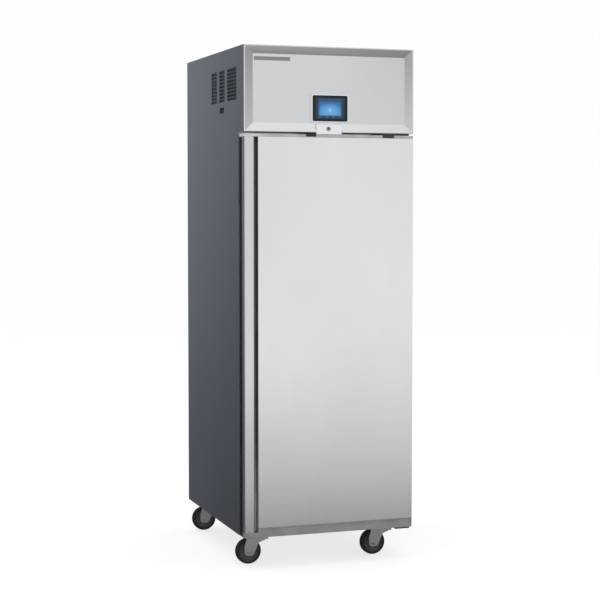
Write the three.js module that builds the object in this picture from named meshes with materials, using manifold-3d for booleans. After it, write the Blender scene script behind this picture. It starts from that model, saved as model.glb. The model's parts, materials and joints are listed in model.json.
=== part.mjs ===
// A one-section reach-in refrigerator: solid full-height door hinged on the right, full-length
// handle on the left, touchscreen header, condensing unit on top, four swivel casters.
// Millimetres. +X is the object's right seen from the front, +Y is towards its back, +Z is up.
// The origin is on the floor, under the middle of the whole object's box.

import * as THREE from 'three';
import { mergeVertices } from 'three/addons/utils/BufferGeometryUtils.js';
import Module from 'manifold-3d';

const wasm = await Module();
wasm.setup();

// ---------------------------------------------------------------- driving dimensions

const WIDTH = 696;
const DEPTH = 845; // door face to back panel
const HEIGHT = 2019;
const CABINET_BOTTOM = 127; // mounting height of the casters
const FACE_SETBACK = 73; // door face to cabinet face: the door and its gasket
const DOOR_THICKNESS = 61;
const DOOR_BOTTOM = 128;
const DOOR_TOP = 1682;
const HEADER_BOTTOM = 1690;
const SHEET = 1.2;
const GAP = 0.3; // between pieces that touch on the real object

const WALL = 58; // insulation between outer sheet and cavity
const CAVITY_FLOOR = 190;
const CAVITY_CEILING = 1628;
const SHELF_HEIGHTS = [480, 790, 1100];

const CASTER_SPACING = 524; // between swivel axes, across
const CASTER_INSET = 55; // swivel axis to the cabinet body's front and back faces
const WHEEL_RADIUS = 50.8;
const WHEEL_TRAIL = 34;

const HINGE_INSET = 18; // hinge axis from the door's right edge
const HINGE_SETBACK = 36.5; // hinge axis from the door face
const LOCK_X = -6;
const LOCK_Z = 1704;

// ---------------------------------------------------------------- places worked out from them

const RIGHT = WIDTH / 2;
const LEFT = -RIGHT;
const FRONT = -DEPTH / 2;
const BACK = DEPTH / 2;
const FACE = FRONT + FACE_SETBACK;
const INSIDE = RIGHT - SHEET - GAP; // half width of what fits between the side panels
const INSIDE_BACK = BACK - SHEET - GAP;
const CAVITY_HALF = INSIDE - WALL + 1.5;
const CAVITY_BACK = INSIDE_BACK - WALL;
const HINGE_X = RIGHT - HINGE_INSET;
const HINGE_Y = FRONT + HINGE_SETBACK;

// ---------------------------------------------------------------- colours and materials

function paint(color, roughness, metalness) {
  return new THREE.MeshStandardMaterial({ color, roughness, metalness });
}

const FINISH = {
  stainless: () => paint(0xc9cbcd, 0.35, 1.0),
  sideSteel: () => paint(0x5f646b, 0.5, 0.8),
  galvanised: () => paint(0xa9adb0, 0.5, 0.9),
  zinc: () => paint(0x8d9092, 0.4, 0.9),
  aluminium: () => paint(0xd2d5d7, 0.3, 1.0),
  copper: () => paint(0xb06a3c, 0.35, 1.0),
  blackPlastic: () => paint(0x1b1c1e, 0.5, 0.0),
  greyPlastic: () => paint(0x45494d, 0.55, 0.0),
  silverPlastic: () => paint(0xc0c3c5, 0.4, 0.2),
  rubber: () => paint(0x18191b, 0.8, 0.0),
  whiteLiner: () => paint(0xe6e8e9, 0.4, 0.0),
  foam: () => paint(0xe2d6a8, 0.9, 0.0),
  blackPaint: () => paint(0x141517, 0.35, 0.3),
  screen: () => paint(0x4f9ad6, 0.15, 0.0),
  lens: () => paint(0xf2f4f2, 0.3, 0.0),
  coatedWire: () => paint(0xdfe1e2, 0.35, 0.2),
};

// ---------------------------------------------------------------- solid modelling helpers

function signedVolume(vertices, triangles) {
  const a = new THREE.Vector3();
  const b = new THREE.Vector3();
  const c = new THREE.Vector3();
  let volume = 0;
  for (let i = 0; i < triangles.length; i += 3) {
    a.fromArray(vertices, 3 * triangles[i]);
    b.fromArray(vertices, 3 * triangles[i + 1]);
    c.fromArray(vertices, 3 * triangles[i + 2]);
    volume += a.dot(b.cross(c)) / 6;
  }
  return volume;
}

// A closed three.js geometry becomes a solid that can be cut and joined.
function solid(geometry) {
  const bare = geometry.clone();
  bare.deleteAttribute('normal');
  bare.deleteAttribute('uv');
  const merged = mergeVertices(bare, 1e-4);
  const vertices = Float32Array.from(merged.attributes.position.array);
  const triangles = [];
  const index = merged.index.array;
  for (let i = 0; i < index.length; i += 3) {
    const [a, b, c] = [index[i], index[i + 1], index[i + 2]];
    if (a !== b && b !== c && c !== a) {
      triangles.push(a, b, c);
    }
  }
  if (signedVolume(vertices, triangles) < 0) {
    for (let i = 0; i < triangles.length; i += 3) {
      [triangles[i], triangles[i + 1]] = [triangles[i + 1], triangles[i]];
    }
  }
  const triVerts = Uint32Array.from(triangles);
  return new wasm.Manifold(new wasm.Mesh({ numProp: 3, vertProperties: vertices, triVerts }));
}

function geometryOf(manifold) {
  const mesh = manifold.getMesh();
  const geometry = new THREE.BufferGeometry();
  geometry.setAttribute('position', new THREE.BufferAttribute(mesh.vertProperties, 3));
  geometry.setIndex(new THREE.BufferAttribute(mesh.triVerts, 1));
  geometry.computeVertexNormals();
  return geometry;
}

function join(...solids) {
  return solids.flat().reduce((whole, piece) => whole.add(piece));
}

function cut(whole, ...tools) {
  return tools.flat().reduce((rest, tool) => rest.subtract(tool), whole);
}

// A box between two values on each axis, given in either order.
function box(x0, x1, y0, y1, z0, z1) {
  const geometry = new THREE.BoxGeometry(Math.abs(x1 - x0), Math.abs(y1 - y0), Math.abs(z1 - z0));
  geometry.translate((x0 + x1) / 2, (y0 + y1) / 2, (z0 + z1) / 2);
  return solid(geometry);
}

// Turns a geometry's own +Z to point along the named axis.
function aim(geometry, axis) {
  if (axis === 'x') {
    geometry.rotateX(Math.PI / 2).rotateZ(Math.PI / 2);
  }
  if (axis === 'y') {
    geometry.rotateX(Math.PI / 2).rotateZ(Math.PI);
  }
  return geometry;
}

// A round bar from one value to another along an axis, centred on the two other coordinates.
function rod(axis, centre, radius, from, to, sides = 24) {
  const geometry = new THREE.CylinderGeometry(radius, radius, to - from, sides);
  const middle = (from + to) / 2;
  if (axis === 'x') {
    geometry.rotateZ(Math.PI / 2).translate(middle, centre[0], centre[1]);
  }
  if (axis === 'y') {
    geometry.translate(centre[0], middle, centre[1]);
  }
  if (axis === 'z') {
    geometry.rotateX(Math.PI / 2).translate(centre[0], centre[1], middle);
  }
  return solid(geometry);
}

function outlineShape(points) {
  return new THREE.Shape(points.map(([x, y]) => new THREE.Vector2(x, y)));
}

// A shape or a list of (x, y) pairs, extruded from z0 to z1.
function prismZ(points, z0, z1) {
  const shape = points instanceof THREE.Shape ? points : outlineShape(points);
  const options = { depth: z1 - z0, bevelEnabled: false, curveSegments: 6 };
  const geometry = new THREE.ExtrudeGeometry(shape, options);
  geometry.translate(0, 0, z0);
  return solid(geometry);
}

// An outline of (y, z) pairs extruded along X.
function prismX(points, x0, x1) {
  const geometry = new THREE.ExtrudeGeometry(outlineShape(points), { depth: x1 - x0, bevelEnabled: false });
  aim(geometry, 'x').translate(x0, 0, 0);
  return solid(geometry);
}

// An outline of (x, z) pairs extruded along Y.
function prismY(points, y0, y1) {
  const shape = new THREE.Shape(points.map(([x, z]) => new THREE.Vector2(-x, z)));
  const geometry = new THREE.ExtrudeGeometry(shape, { depth: y1 - y0, bevelEnabled: false });
  aim(geometry, 'y').translate(0, y0, 0);
  return solid(geometry);
}

// A solid of revolution about a vertical axis through (x, y), from (radius, height) pairs.
function turned(profile, x, y, sides = 28) {
  const points = profile.map(([radius, height]) => new THREE.Vector2(radius, height));
  const geometry = new THREE.LatheGeometry(points, sides);
  geometry.rotateX(Math.PI / 2).translate(x, y, 0);
  return solid(geometry);
}

// A four-sided tapering block between two upright rectangles, each [x0, x1, z0, z1].
function taper(near, nearY, far, farY) {
  const geometry = new THREE.BoxGeometry(1, 1, 1);
  const position = geometry.attributes.position;
  for (let i = 0; i < position.count; i += 1) {
    const rectangle = position.getY(i) < 0 ? near : far;
    const x = position.getX(i) < 0 ? rectangle[0] : rectangle[1];
    const y = position.getY(i) < 0 ? nearY : farY;
    const z = position.getZ(i) < 0 ? rectangle[2] : rectangle[3];
    position.setXYZ(i, x, y, z);
  }
  return solid(geometry);
}

// A round tube along a smooth curve through the given points.
function tube(points, radius, steps) {
  const curve = new THREE.CatmullRomCurve3(points.map((p) => new THREE.Vector3(...p)));
  const circle = new THREE.Shape();
  circle.absarc(0, 0, radius, 0, 2 * Math.PI);
  const options = { steps, extrudePath: curve, bevelEnabled: false, curveSegments: 4 };
  return solid(new THREE.ExtrudeGeometry(circle, options));
}

function named(name, shape, material) {
  const mesh = new THREE.Mesh(geometryOf(shape), material);
  mesh.name = name;
  return mesh;
}

function assembly(...members) {
  const result = new THREE.Group();
  result.add(...members.flat());
  return result;
}

// ---------------------------------------------------------------- louvres

const LOUVRE_PITCH = 14;
const LOUVRE_HEIGHT = 12;
const LOUVRE_DEPTH = 9;
const LOUVRE_BOTTOM = 1818;
const LOUVRE_ROWS = 9;
const LOUVRE_COLUMNS = [[101, 225], [264, 339], [375, 454]]; // distances behind the door face
const REAR_LOUVRES = { columns: [-300, 20], length: 280, rows: 8, pitch: 30, bottom: 1740 };
const OVERSHOOT = 1; // how far a cutting tool passes the face that it cuts

// Each louvre is a window with its blade bent inwards from the window's upper edge.
function louvreBlade(outer, inward, z) {
  const top = z + LOUVRE_HEIGHT;
  const root = outer + inward * SHEET;
  const tip = outer + inward * LOUVRE_DEPTH;
  return [
    [outer, top + SHEET / 2],
    [root, top + SHEET / 2],
    [tip, z + SHEET],
    [tip - inward * SHEET, z],
    [outer, top - SHEET],
  ];
}

function sideLouvres(side) {
  const windows = [];
  const blades = [];
  for (const [near, far] of LOUVRE_COLUMNS) {
    for (let row = 0; row < LOUVRE_ROWS; row += 1) {
      const z = LOUVRE_BOTTOM + row * LOUVRE_PITCH;
      const [y0, y1] = [FRONT + near, FRONT + far];
      const outside = RIGHT + OVERSHOOT;
      const inside = RIGHT - SHEET - OVERSHOOT;
      windows.push(box(side * outside, side * inside, y0, y1, z, z + LOUVRE_HEIGHT));
      blades.push(prismY(louvreBlade(side * RIGHT, -side, z), y0 + SHEET, y1 - SHEET));
    }
  }
  return { windows, blades };
}

function rearLouvres() {
  const windows = [];
  const blades = [];
  const { columns, length, rows, pitch, bottom } = REAR_LOUVRES;
  for (const x0 of columns) {
    const x1 = x0 + length;
    for (let row = 0; row < rows; row += 1) {
      const z = bottom + row * pitch;
      windows.push(box(x0, x1, BACK - SHEET - OVERSHOOT, BACK + OVERSHOOT, z, z + LOUVRE_HEIGHT));
      blades.push(prismX(louvreBlade(BACK, -1, z), x0 + SHEET, x1 - SHEET));
    }
  }
  return { windows, blades };
}

// ---------------------------------------------------------------- cabinet shell

const INLET = { y: FRONT + 303, z: 1785, width: 60, height: 24, depth: 30, recess: 16, rimY: 8, rimZ: 4 };

function sidePanel(side) {
  const body = box(side * RIGHT, side * (RIGHT - SHEET), FACE, BACK, CABINET_BOTTOM, HEIGHT);
  const headerCheek = box(
    side * RIGHT, side * (RIGHT - SHEET), FRONT + SHEET + GAP, FACE + OVERSHOOT, HEADER_BOTTOM, HEIGHT,
  );
  const { windows, blades } = sideLouvres(side);
  const panel = join(cut(join(body, headerCheek), windows), blades);
  if (side > 0) {
    return panel;
  }
  const halfWidth = INLET.width / 2;
  const halfHeight = INLET.height / 2;
  return cut(panel, box(
    LEFT - OVERSHOOT, LEFT + SHEET + OVERSHOOT,
    INLET.y - halfWidth, INLET.y + halfWidth, INLET.z - halfHeight, INLET.z + halfHeight,
  ));
}

// Recessed socket for the supply lead, flush with the left side panel.
function powerInlet() {
  const halfWidth = INLET.width / 2 - GAP;
  const halfHeight = INLET.height / 2 - GAP;
  const block = box(
    LEFT, LEFT + INLET.depth,
    INLET.y - halfWidth, INLET.y + halfWidth, INLET.z - halfHeight, INLET.z + halfHeight,
  );
  const recess = box(
    LEFT - OVERSHOOT, LEFT + INLET.recess,
    INLET.y - halfWidth + INLET.rimY, INLET.y + halfWidth - INLET.rimY,
    INLET.z - halfHeight + INLET.rimZ, INLET.z + halfHeight - INLET.rimZ,
  );
  return cut(block, recess);
}

function rearGrille() {
  const sheet = box(-INSIDE, INSIDE, BACK - SHEET, BACK, HEADER_BOTTOM, HEIGHT);
  const { windows, blades } = rearLouvres();
  return join(cut(sheet, windows), blades);
}

const BREAKER = { half: 312, bottom: 168, top: 1650, depth: 12 };

function faceFrame() {
  const sheet = box(-INSIDE, INSIDE, FACE, FACE + SHEET, CABINET_BOTTOM + SHEET + GAP, HEADER_BOTTOM - GAP);
  const opening = box(
    -BREAKER.half, BREAKER.half, FACE - OVERSHOOT, FACE + SHEET + OVERSHOOT, BREAKER.bottom, BREAKER.top,
  );
  return cut(sheet, opening);
}

function breakerFrame() {
  const outer = box(
    -BREAKER.half + GAP, BREAKER.half - GAP, FACE, FACE + BREAKER.depth,
    BREAKER.bottom + GAP, BREAKER.top - GAP,
  );
  const clear = CAVITY_HALF - GAP - SHEET;
  const opening = box(
    -clear, clear, FACE - OVERSHOOT, FACE + BREAKER.depth + OVERSHOOT,
    CAVITY_FLOOR + GAP + SHEET, CAVITY_CEILING - GAP - SHEET,
  );
  return cut(outer, opening);
}

// Foamed-in-place insulation of the cabinet, open at the front.
function cabinetFoam() {
  const block = box(
    -INSIDE, INSIDE, FACE + SHEET + GAP, INSIDE_BACK,
    CABINET_BOTTOM + SHEET + GAP, HEADER_BOTTOM - GAP,
  );
  const cavity = box(-CAVITY_HALF, CAVITY_HALF, FACE, CAVITY_BACK, CAVITY_FLOOR, CAVITY_CEILING);
  const rebate = box(
    -BREAKER.half, BREAKER.half, FACE, FACE + BREAKER.depth + GAP, BREAKER.bottom, BREAKER.top,
  );
  return cut(block, cavity, rebate);
}

function innerLiner() {
  const half = CAVITY_HALF - GAP;
  const front = FACE + BREAKER.depth + GAP;
  const outer = box(-half, half, front, CAVITY_BACK - GAP, CAVITY_FLOOR + GAP, CAVITY_CEILING - GAP);
  const clear = box(
    -half + SHEET, half - SHEET, front - OVERSHOOT, CAVITY_BACK - GAP - SHEET,
    CAVITY_FLOOR + GAP + SHEET, CAVITY_CEILING - GAP - SHEET,
  );
  return cut(outer, clear);
}

function cabinetShell() {
  return assembly(
    named('left_side_panel', sidePanel(-1), FINISH.sideSteel()),
    named('right_side_panel', sidePanel(1), FINISH.sideSteel()),
    named(
      'back_panel',
      box(-INSIDE, INSIDE, BACK - SHEET, BACK, CABINET_BOTTOM, HEADER_BOTTOM - GAP),
      FINISH.galvanised(),
    ),
    named('rear_grille', rearGrille(), FINISH.galvanised()),
    named(
      'base_pan',
      box(-INSIDE, INSIDE, FACE, INSIDE_BACK, CABINET_BOTTOM, CABINET_BOTTOM + SHEET),
      FINISH.galvanised(),
    ),
    named('face_frame', faceFrame(), FINISH.stainless()),
    named('breaker_frame', breakerFrame(), FINISH.greyPlastic()),
    named('cabinet_foam', cabinetFoam(), FINISH.foam()),
    named('inner_liner', innerLiner(), FINISH.whiteLiner()),
    named('power_inlet', powerInlet(), FINISH.blackPlastic()),
  );
}

// ---------------------------------------------------------------- header

const HEADER_DISH = 18; // depth of the header's inset face
const RETURN_DEPTH = 20;
const HEADER_RIM = [-343, 343, 1694, 2015]; // where the dished border starts: x0, x1, z0, z1
const HEADER_INSET = [-307, 317, 1725, 1987]; // the flat inset face
const LOCK_NOTCH = [LOCK_X - 50, LOCK_X + 55, HEADER_BOTTOM - OVERSHOOT, 1720.5];
const DISPLAY_TRIM = [-77, 84, 1729, 1841];
const DISPLAY_BEZEL = [-66, 77, 1734, 1833];
const DISPLAY_GLASS = [-56, 66, 1743, 1825];
const TRIM_STANDS = 2; // the display trim above the inset face
const BEZEL_STANDS = 3.5;
const GLASS_DEPTH = 2;
const GLASS_SETBACK = 0.5;
const NAMEPLATE = [-301, -157, 1962, 1976];
const NAMEPLATE_STANDS = 2.5;
const LOCK_PLATE = { thickness: 2, bottom: 1683, top: 1720, tabTop: 1735 };
const LOCK_HEAD = { radius: 9.5, stands: 1.7 };
const LOCK_BARREL = { radius: 8, length: 30 };
const KEYWAY = { half: 0.8, reach: 4, depth: 8 };
const CAM = { back: 5, reach: 28, half: 5, thickness: 3 };
const CAM_SLOT = { x0: LOCK_X - 10, x1: LOCK_X + 30, y0: FRONT + 26, y1: FRONT + 38 };
const SENSOR = { x0: -98, x1: -56.5, y0: FRONT + 2, y1: FRONT + 18 };
const SENSOR_CLEARANCE = 2.5;

function grown([x0, x1, z0, z1], by) {
  return [x0 - by, x1 + by, z0 - by, z1 + by];
}

function plate([x0, x1, z0, z1], y0, y1) {
  return box(x0, x1, y0, y1, z0, z1);
}

// The rim rectangle carried on one millimetre in front of the panel, along the dish's slope.
function rimAhead() {
  return HEADER_RIM.map((value, i) => value + (value - HEADER_INSET[i]) / HEADER_DISH);
}

function headerFrontPanel() {
  const whole = [LEFT, RIGHT, HEADER_BOTTOM, HEIGHT];
  const returnsOuter = [-INSIDE, INSIDE, HEADER_BOTTOM, HEIGHT];
  const sheet = plate(whole, FRONT, FRONT + SHEET);
  const returns = cut(
    plate(returnsOuter, FRONT, FRONT + RETURN_DEPTH),
    plate(grown(returnsOuter, -SHEET), FRONT - OVERSHOOT, FRONT + RETURN_DEPTH + OVERSHOOT),
  );
  const dish = taper(
    grown(HEADER_RIM, SHEET), FRONT, grown(HEADER_INSET, SHEET), FRONT + HEADER_DISH + SHEET,
  );
  const hollow = taper(rimAhead(), FRONT - 1, HEADER_INSET, FRONT + HEADER_DISH);
  const trim = cut(
    plate(DISPLAY_TRIM, FRONT + HEADER_DISH - TRIM_STANDS, FRONT + HEADER_DISH + SHEET / 2),
    plate(grown(DISPLAY_BEZEL, GAP), FRONT, FRONT + HEADER_DISH),
  );
  const notch = plate(LOCK_NOTCH, FRONT - OVERSHOOT, FRONT + RETURN_DEPTH + OVERSHOOT);
  return cut(join(cut(join(sheet, returns, dish), hollow), trim), notch);
}

function displayBezel() {
  const front = FRONT + HEADER_DISH - BEZEL_STANDS;
  const body = plate(DISPLAY_BEZEL, front, FRONT + HEADER_DISH - GAP);
  return cut(body, plate(DISPLAY_GLASS, front - OVERSHOOT, front + GLASS_DEPTH));
}

function displayScreen() {
  const front = FRONT + HEADER_DISH - BEZEL_STANDS;
  return plate(grown(DISPLAY_GLASS, -GAP), front + GLASS_SETBACK, front + GLASS_DEPTH - GAP);
}

// Plate around the lock, hung from behind the inset face and reaching over the door gap.
function lockPlate() {
  const { thickness, bottom, top, tabTop } = LOCK_PLATE;
  const [x0, x1] = [LOCK_NOTCH[0] + GAP, LOCK_NOTCH[1] - GAP];
  const front = FRONT + LOCK_HEAD.stands + GAP;
  const behind = FRONT + HEADER_DISH + SHEET + GAP;
  const face = box(x0, x1, front, front + thickness, bottom, top);
  const shelf = box(x0, x1, front, behind + thickness, top - thickness, top);
  const tab = box(x0, x1, behind, behind + thickness, top - thickness, tabTop);
  const cheeks = [x0, x1 - thickness].map(
    (x) => box(x, x + thickness, front, behind, HEADER_BOTTOM + 2, top),
  );
  const hole = rod('y', [LOCK_X, LOCK_Z], LOCK_BARREL.radius + GAP, FRONT, behind);
  return cut(join(face, shelf, tab, cheeks), hole);
}

function headerDeck() {
  const sheet = box(
    -INSIDE, INSIDE, FRONT + RETURN_DEPTH + GAP, INSIDE_BACK, HEADER_BOTTOM, HEADER_BOTTOM + SHEET,
  );
  const { x0, x1, y0, y1 } = CAM_SLOT;
  return cut(sheet, box(x0, x1, y0, y1, HEADER_BOTTOM - OVERSHOOT, HEADER_BOTTOM + SHEET + OVERSHOOT));
}

function lock() {
  const centre = [LOCK_X, LOCK_Z];
  const end = FRONT + LOCK_BARREL.length;
  const head = rod('y', centre, LOCK_HEAD.radius, FRONT, FRONT + LOCK_HEAD.stands);
  const barrel = rod('y', centre, LOCK_BARREL.radius, FRONT + 1, end);
  const keyway = box(
    LOCK_X - KEYWAY.half, LOCK_X + KEYWAY.half, FRONT - OVERSHOOT, FRONT + KEYWAY.depth,
    LOCK_Z - KEYWAY.reach, LOCK_Z + KEYWAY.reach,
  );
  const cam = box(
    LOCK_X - CAM.back, LOCK_X + CAM.reach, end - 0.5, end + CAM.thickness,
    LOCK_Z - CAM.half, LOCK_Z + CAM.half,
  );
  return cut(join(head, barrel, cam), keyway);
}

function header() {
  const inset = FRONT + HEADER_DISH;
  const nameplate = plate(NAMEPLATE, inset - NAMEPLATE_STANDS, inset - GAP);
  const sensor = box(
    SENSOR.x0, SENSOR.x1, SENSOR.y0, SENSOR.y1, DOOR_TOP + SENSOR_CLEARANCE, HEADER_BOTTOM - GAP,
  );
  return assembly(
    named('header_front_panel', headerFrontPanel(), FINISH.stainless()),
    named('header_deck', headerDeck(), FINISH.galvanised()),
    named('nameplate', nameplate, FINISH.greyPlastic()),
    named('display_bezel', displayBezel(), FINISH.blackPlastic()),
    named('display_screen', displayScreen(), FINISH.screen()),
    named('lock_plate', lockPlate(), FINISH.stainless()),
    named('lock', lock(), FINISH.zinc()),
    named('door_sensor', sensor, FINISH.blackPlastic()),
  );
}

// ---------------------------------------------------------------- door

const HANDLE_RIGHT = LEFT + 56;
const BAR_RIGHT = LEFT + 43.5;
const SKIN_DEPTH = 42;
const CAP_TOP_HEIGHT = 11;
const CAP_BOTTOM_TOP = 164;
const HANDLE_CAP_TOP = 147;
const PIN_RADIUS = 4;
const SKIN_TOP = DOOR_TOP - CAP_TOP_HEIGHT - GAP;
const HANDLE_BAR = 11; // thickness of the gripped bar
const HANDLE_BACK = 36; // door face to the back of the finger groove
const HANDLE_CORNER = 8;

// Sheet wrapped round the door's front: over the right edge, and into the finger groove.
function doorSkin() {
  const front = FRONT;
  const outline = [
    [HANDLE_RIGHT + GAP, front],
    [RIGHT, front],
    [RIGHT, front + SKIN_DEPTH],
    [RIGHT - SHEET, front + SKIN_DEPTH],
    [RIGHT - SHEET, front + SHEET],
    [HANDLE_RIGHT + GAP + SHEET, front + SHEET],
    [HANDLE_RIGHT + GAP + SHEET, front + SKIN_DEPTH],
    [HANDLE_RIGHT + GAP, front + SKIN_DEPTH],
  ];
  return prismZ(outline, CAP_BOTTOM_TOP + GAP, SKIN_TOP);
}

// Hooked extrusion: a bar along the door's left edge with a finger groove behind it.
function doorHandle() {
  const lip = 9;
  const wall = 5;
  const shape = new THREE.Shape();
  shape.moveTo(BAR_RIGHT - lip, FRONT);
  shape.absarc(BAR_RIGHT - lip, FRONT + lip, lip, -Math.PI / 2, 0, false);
  shape.lineTo(BAR_RIGHT, FRONT + HANDLE_BAR);
  shape.lineTo(LEFT + 2 * wall, FRONT + HANDLE_BAR);
  shape.absarc(LEFT + 2 * wall, FRONT + HANDLE_BAR + wall, wall, -Math.PI / 2, -Math.PI, true);
  shape.lineTo(LEFT + wall, FRONT + HANDLE_BACK);
  shape.lineTo(HANDLE_RIGHT, FRONT + HANDLE_BACK);
  shape.lineTo(HANDLE_RIGHT, FRONT + SKIN_DEPTH);
  shape.lineTo(LEFT, FRONT + SKIN_DEPTH);
  shape.lineTo(LEFT, FRONT + HANDLE_CORNER);
  shape.absarc(LEFT + HANDLE_CORNER, FRONT + HANDLE_CORNER, HANDLE_CORNER, Math.PI, 1.5 * Math.PI, false);
  return prismZ(shape, HANDLE_CAP_TOP + GAP, SKIN_TOP);
}

function doorFoam() {
  const back = FRONT + DOOR_THICKNESS - SHEET - GAP;
  const bottom = CAP_BOTTOM_TOP + GAP;
  const inner = RIGHT - 2 * SHEET - 2 * GAP;
  const left = HANDLE_RIGHT + 2 * GAP + SHEET;
  const main = box(left, inner, FRONT + SHEET + GAP, back, bottom, SKIN_TOP);
  const behindHandle = box(-inner, left + 1, FRONT + SKIN_DEPTH + GAP, back, bottom, SKIN_TOP);
  return join(main, behindHandle);
}

// Inner door pan, its rim standing forward to meet the skin and the handle.
function doorLiner() {
  const back = FRONT + DOOR_THICKNESS;
  const half = RIGHT - SHEET - GAP;
  const pan = box(-half, half, FRONT + SKIN_DEPTH + GAP, back, CAP_BOTTOM_TOP + GAP, SKIN_TOP);
  const hollow = box(-half + SHEET, half - SHEET, FRONT, back - SHEET, CAP_BOTTOM_TOP, DOOR_TOP);
  return cut(pan, hollow);
}

const GASKET = [LEFT + 10, HINGE_X - 12, 150, 1668]; // outline of the part that seals: x0, x1, z0, z1
const GASKET_WIDTH = 24;
const BELLOWS_BULGE = 3;

function doorGasket() {
  const y0 = FRONT + DOOR_THICKNESS + GAP;
  const y1 = FACE - GAP;
  const seal = cut(
    plate(GASKET, y0, y1),
    plate(grown(GASKET, -GASKET_WIDTH), y0 - OVERSHOOT, y1 + OVERSHOOT),
  );
  const bellows = cut(
    plate(grown(GASKET, BELLOWS_BULGE), y0 + 3, y1 - 4),
    plate(grown(GASKET, BELLOWS_BULGE - GASKET_WIDTH), y0, y1),
  );
  return join(seal, bellows);
}

function doorOutline() {
  const back = FRONT + DOOR_THICKNESS;
  const shape = new THREE.Shape();
  shape.moveTo(LEFT, back);
  shape.lineTo(LEFT, FRONT + HANDLE_CORNER);
  shape.absarc(LEFT + HANDLE_CORNER, FRONT + HANDLE_CORNER, HANDLE_CORNER, Math.PI, 1.5 * Math.PI, false);
  shape.lineTo(RIGHT - 2, FRONT);
  shape.lineTo(RIGHT, FRONT + 2);
  shape.lineTo(RIGHT, back);
  return shape;
}

const SENSOR_MAGNET = { x0: SENSOR.x0, x1: SENSOR.x1, depth: 12, bottom: DOOR_TOP - 9 };
const CAM_POCKET = { x0: LOCK_X - 8, x1: LOCK_X + 28, y0: FRONT + 27, y1: FRONT + 37, depth: 10 };
const CAP_REVEAL = { depth: 1.5, margin: 4 }; // the bottom cap's face behind the door face
const PIN_DEPTH = 16; // hole for the hinge pin in the bottom cap

function doorTopCap() {
  const bottom = DOOR_TOP - CAP_TOP_HEIGHT;
  const cap = prismZ(doorOutline(), bottom, DOOR_TOP);
  const above = DOOR_TOP + OVERSHOOT;
  const { x0, x1, y0, y1, depth } = CAM_POCKET;
  const pocket = box(x0, x1, y0, y1, DOOR_TOP - depth, above);
  const pinHole = rod('z', [HINGE_X, HINGE_Y], PIN_RADIUS + GAP, bottom + 2, above);
  const magnetSeat = box(
    SENSOR_MAGNET.x0 - GAP, SENSOR_MAGNET.x1 + GAP, FRONT - OVERSHOOT, FRONT + SENSOR_MAGNET.depth,
    SENSOR_MAGNET.bottom, above,
  );
  return cut(cap, pocket, pinHole, magnetSeat);
}

// Bottom cap of the door. Under the handle it is lower, and closes the handle's end.
function doorBottomCap() {
  const whole = prismZ(doorOutline(), DOOR_BOTTOM, CAP_BOTTOM_TOP);
  const right = HANDLE_RIGHT + GAP;
  const ahead = FRONT - OVERSHOOT;
  const above = CAP_BOTTOM_TOP + OVERSHOOT;
  const aboveHandle = box(LEFT - OVERSHOOT, right, ahead, FRONT + SKIN_DEPTH + GAP, HANDLE_CAP_TOP, above);
  const reveal = box(
    right, RIGHT + OVERSHOOT, ahead, FRONT + CAP_REVEAL.depth,
    DOOR_BOTTOM + CAP_REVEAL.margin, CAP_BOTTOM_TOP - CAP_REVEAL.margin,
  );
  const pinHole = rod(
    'z', [HINGE_X, HINGE_Y], PIN_RADIUS + GAP, DOOR_BOTTOM - OVERSHOOT, DOOR_BOTTOM + PIN_DEPTH,
  );
  return cut(whole, aboveHandle, reveal, pinHole);
}

function door() {
  const magnet = box(
    SENSOR_MAGNET.x0, SENSOR_MAGNET.x1, FRONT + 2 * GAP, FRONT + SENSOR_MAGNET.depth - GAP,
    SENSOR_MAGNET.bottom + GAP, DOOR_TOP,
  );
  return assembly(
    named('door_skin', doorSkin(), FINISH.stainless()),
    named('door_handle', doorHandle(), FINISH.aluminium()),
    named('door_foam', doorFoam(), FINISH.foam()),
    named('door_liner', doorLiner(), FINISH.greyPlastic()),
    named('door_gasket', doorGasket(), FINISH.rubber()),
    named('door_top_cap', doorTopCap(), FINISH.silverPlastic()),
    named('door_bottom_cap', doorBottomCap(), FINISH.silverPlastic()),
    named('sensor_magnet', magnet, FINISH.blackPlastic()),
  );
}

// ---------------------------------------------------------------- hinges

const TOP_HINGE = { left: 216, margin: 8, eye: 14 };
const BOTTOM_HINGE = { x0: 284, x1: 344, front: FRONT + 16, z0: 119, z1: 125.5, legTop: 145, leg: 2.7 };
const PIN_REACH = 8; // how far the pins enter the door

function topHinge() {
  const [z0, z1] = [DOOR_TOP + SHEET, HEADER_BOTTOM - GAP];
  const { left, margin, eye } = TOP_HINGE;
  const arm = box(left, HINGE_X, FRONT + margin, FACE - margin, z0, z1);
  const round = rod('z', [HINGE_X, HINGE_Y], eye, z0, z1);
  const pin = rod('z', [HINGE_X, HINGE_Y], PIN_RADIUS, DOOR_TOP - PIN_REACH, z0 + 1);
  return join(arm, round, pin);
}

// Angle bracket on the cabinet face: its foot reaches forward under the door.
function bottomHinge() {
  const { x0, x1, front, z0, z1, legTop, leg } = BOTTOM_HINGE;
  const foot = box(x0, x1, front, FACE - GAP, z0, z1);
  const upright = box(x0, x1, FACE - GAP - leg, FACE - GAP, z0, legTop);
  const pin = rod('z', [HINGE_X, HINGE_Y], PIN_RADIUS, z1 - 1, DOOR_BOTTOM + PIN_REACH);
  return join(foot, upright, pin);
}

// ---------------------------------------------------------------- inside the cabinet

const PILASTER_Y = [-235, 275];
const PILASTER = { depth: 8, half: 11, bottom: 215, top: 1420 };
const SLOT = { first: 240, last: 1410, pitch: 130, half: 4, height: 14, depth: 3 };
const CLIP = { length: 20, half: 8, height: 8 };
const LINER_HALF = CAVITY_HALF - GAP - SHEET;
const SHELF_BAR = 6;
const SHELF_WIRE = 3.5;
const SHELF_WIRES = 19;
const SHELF_MARGIN = { side: 4, front: 45, back: 25 };

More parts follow.
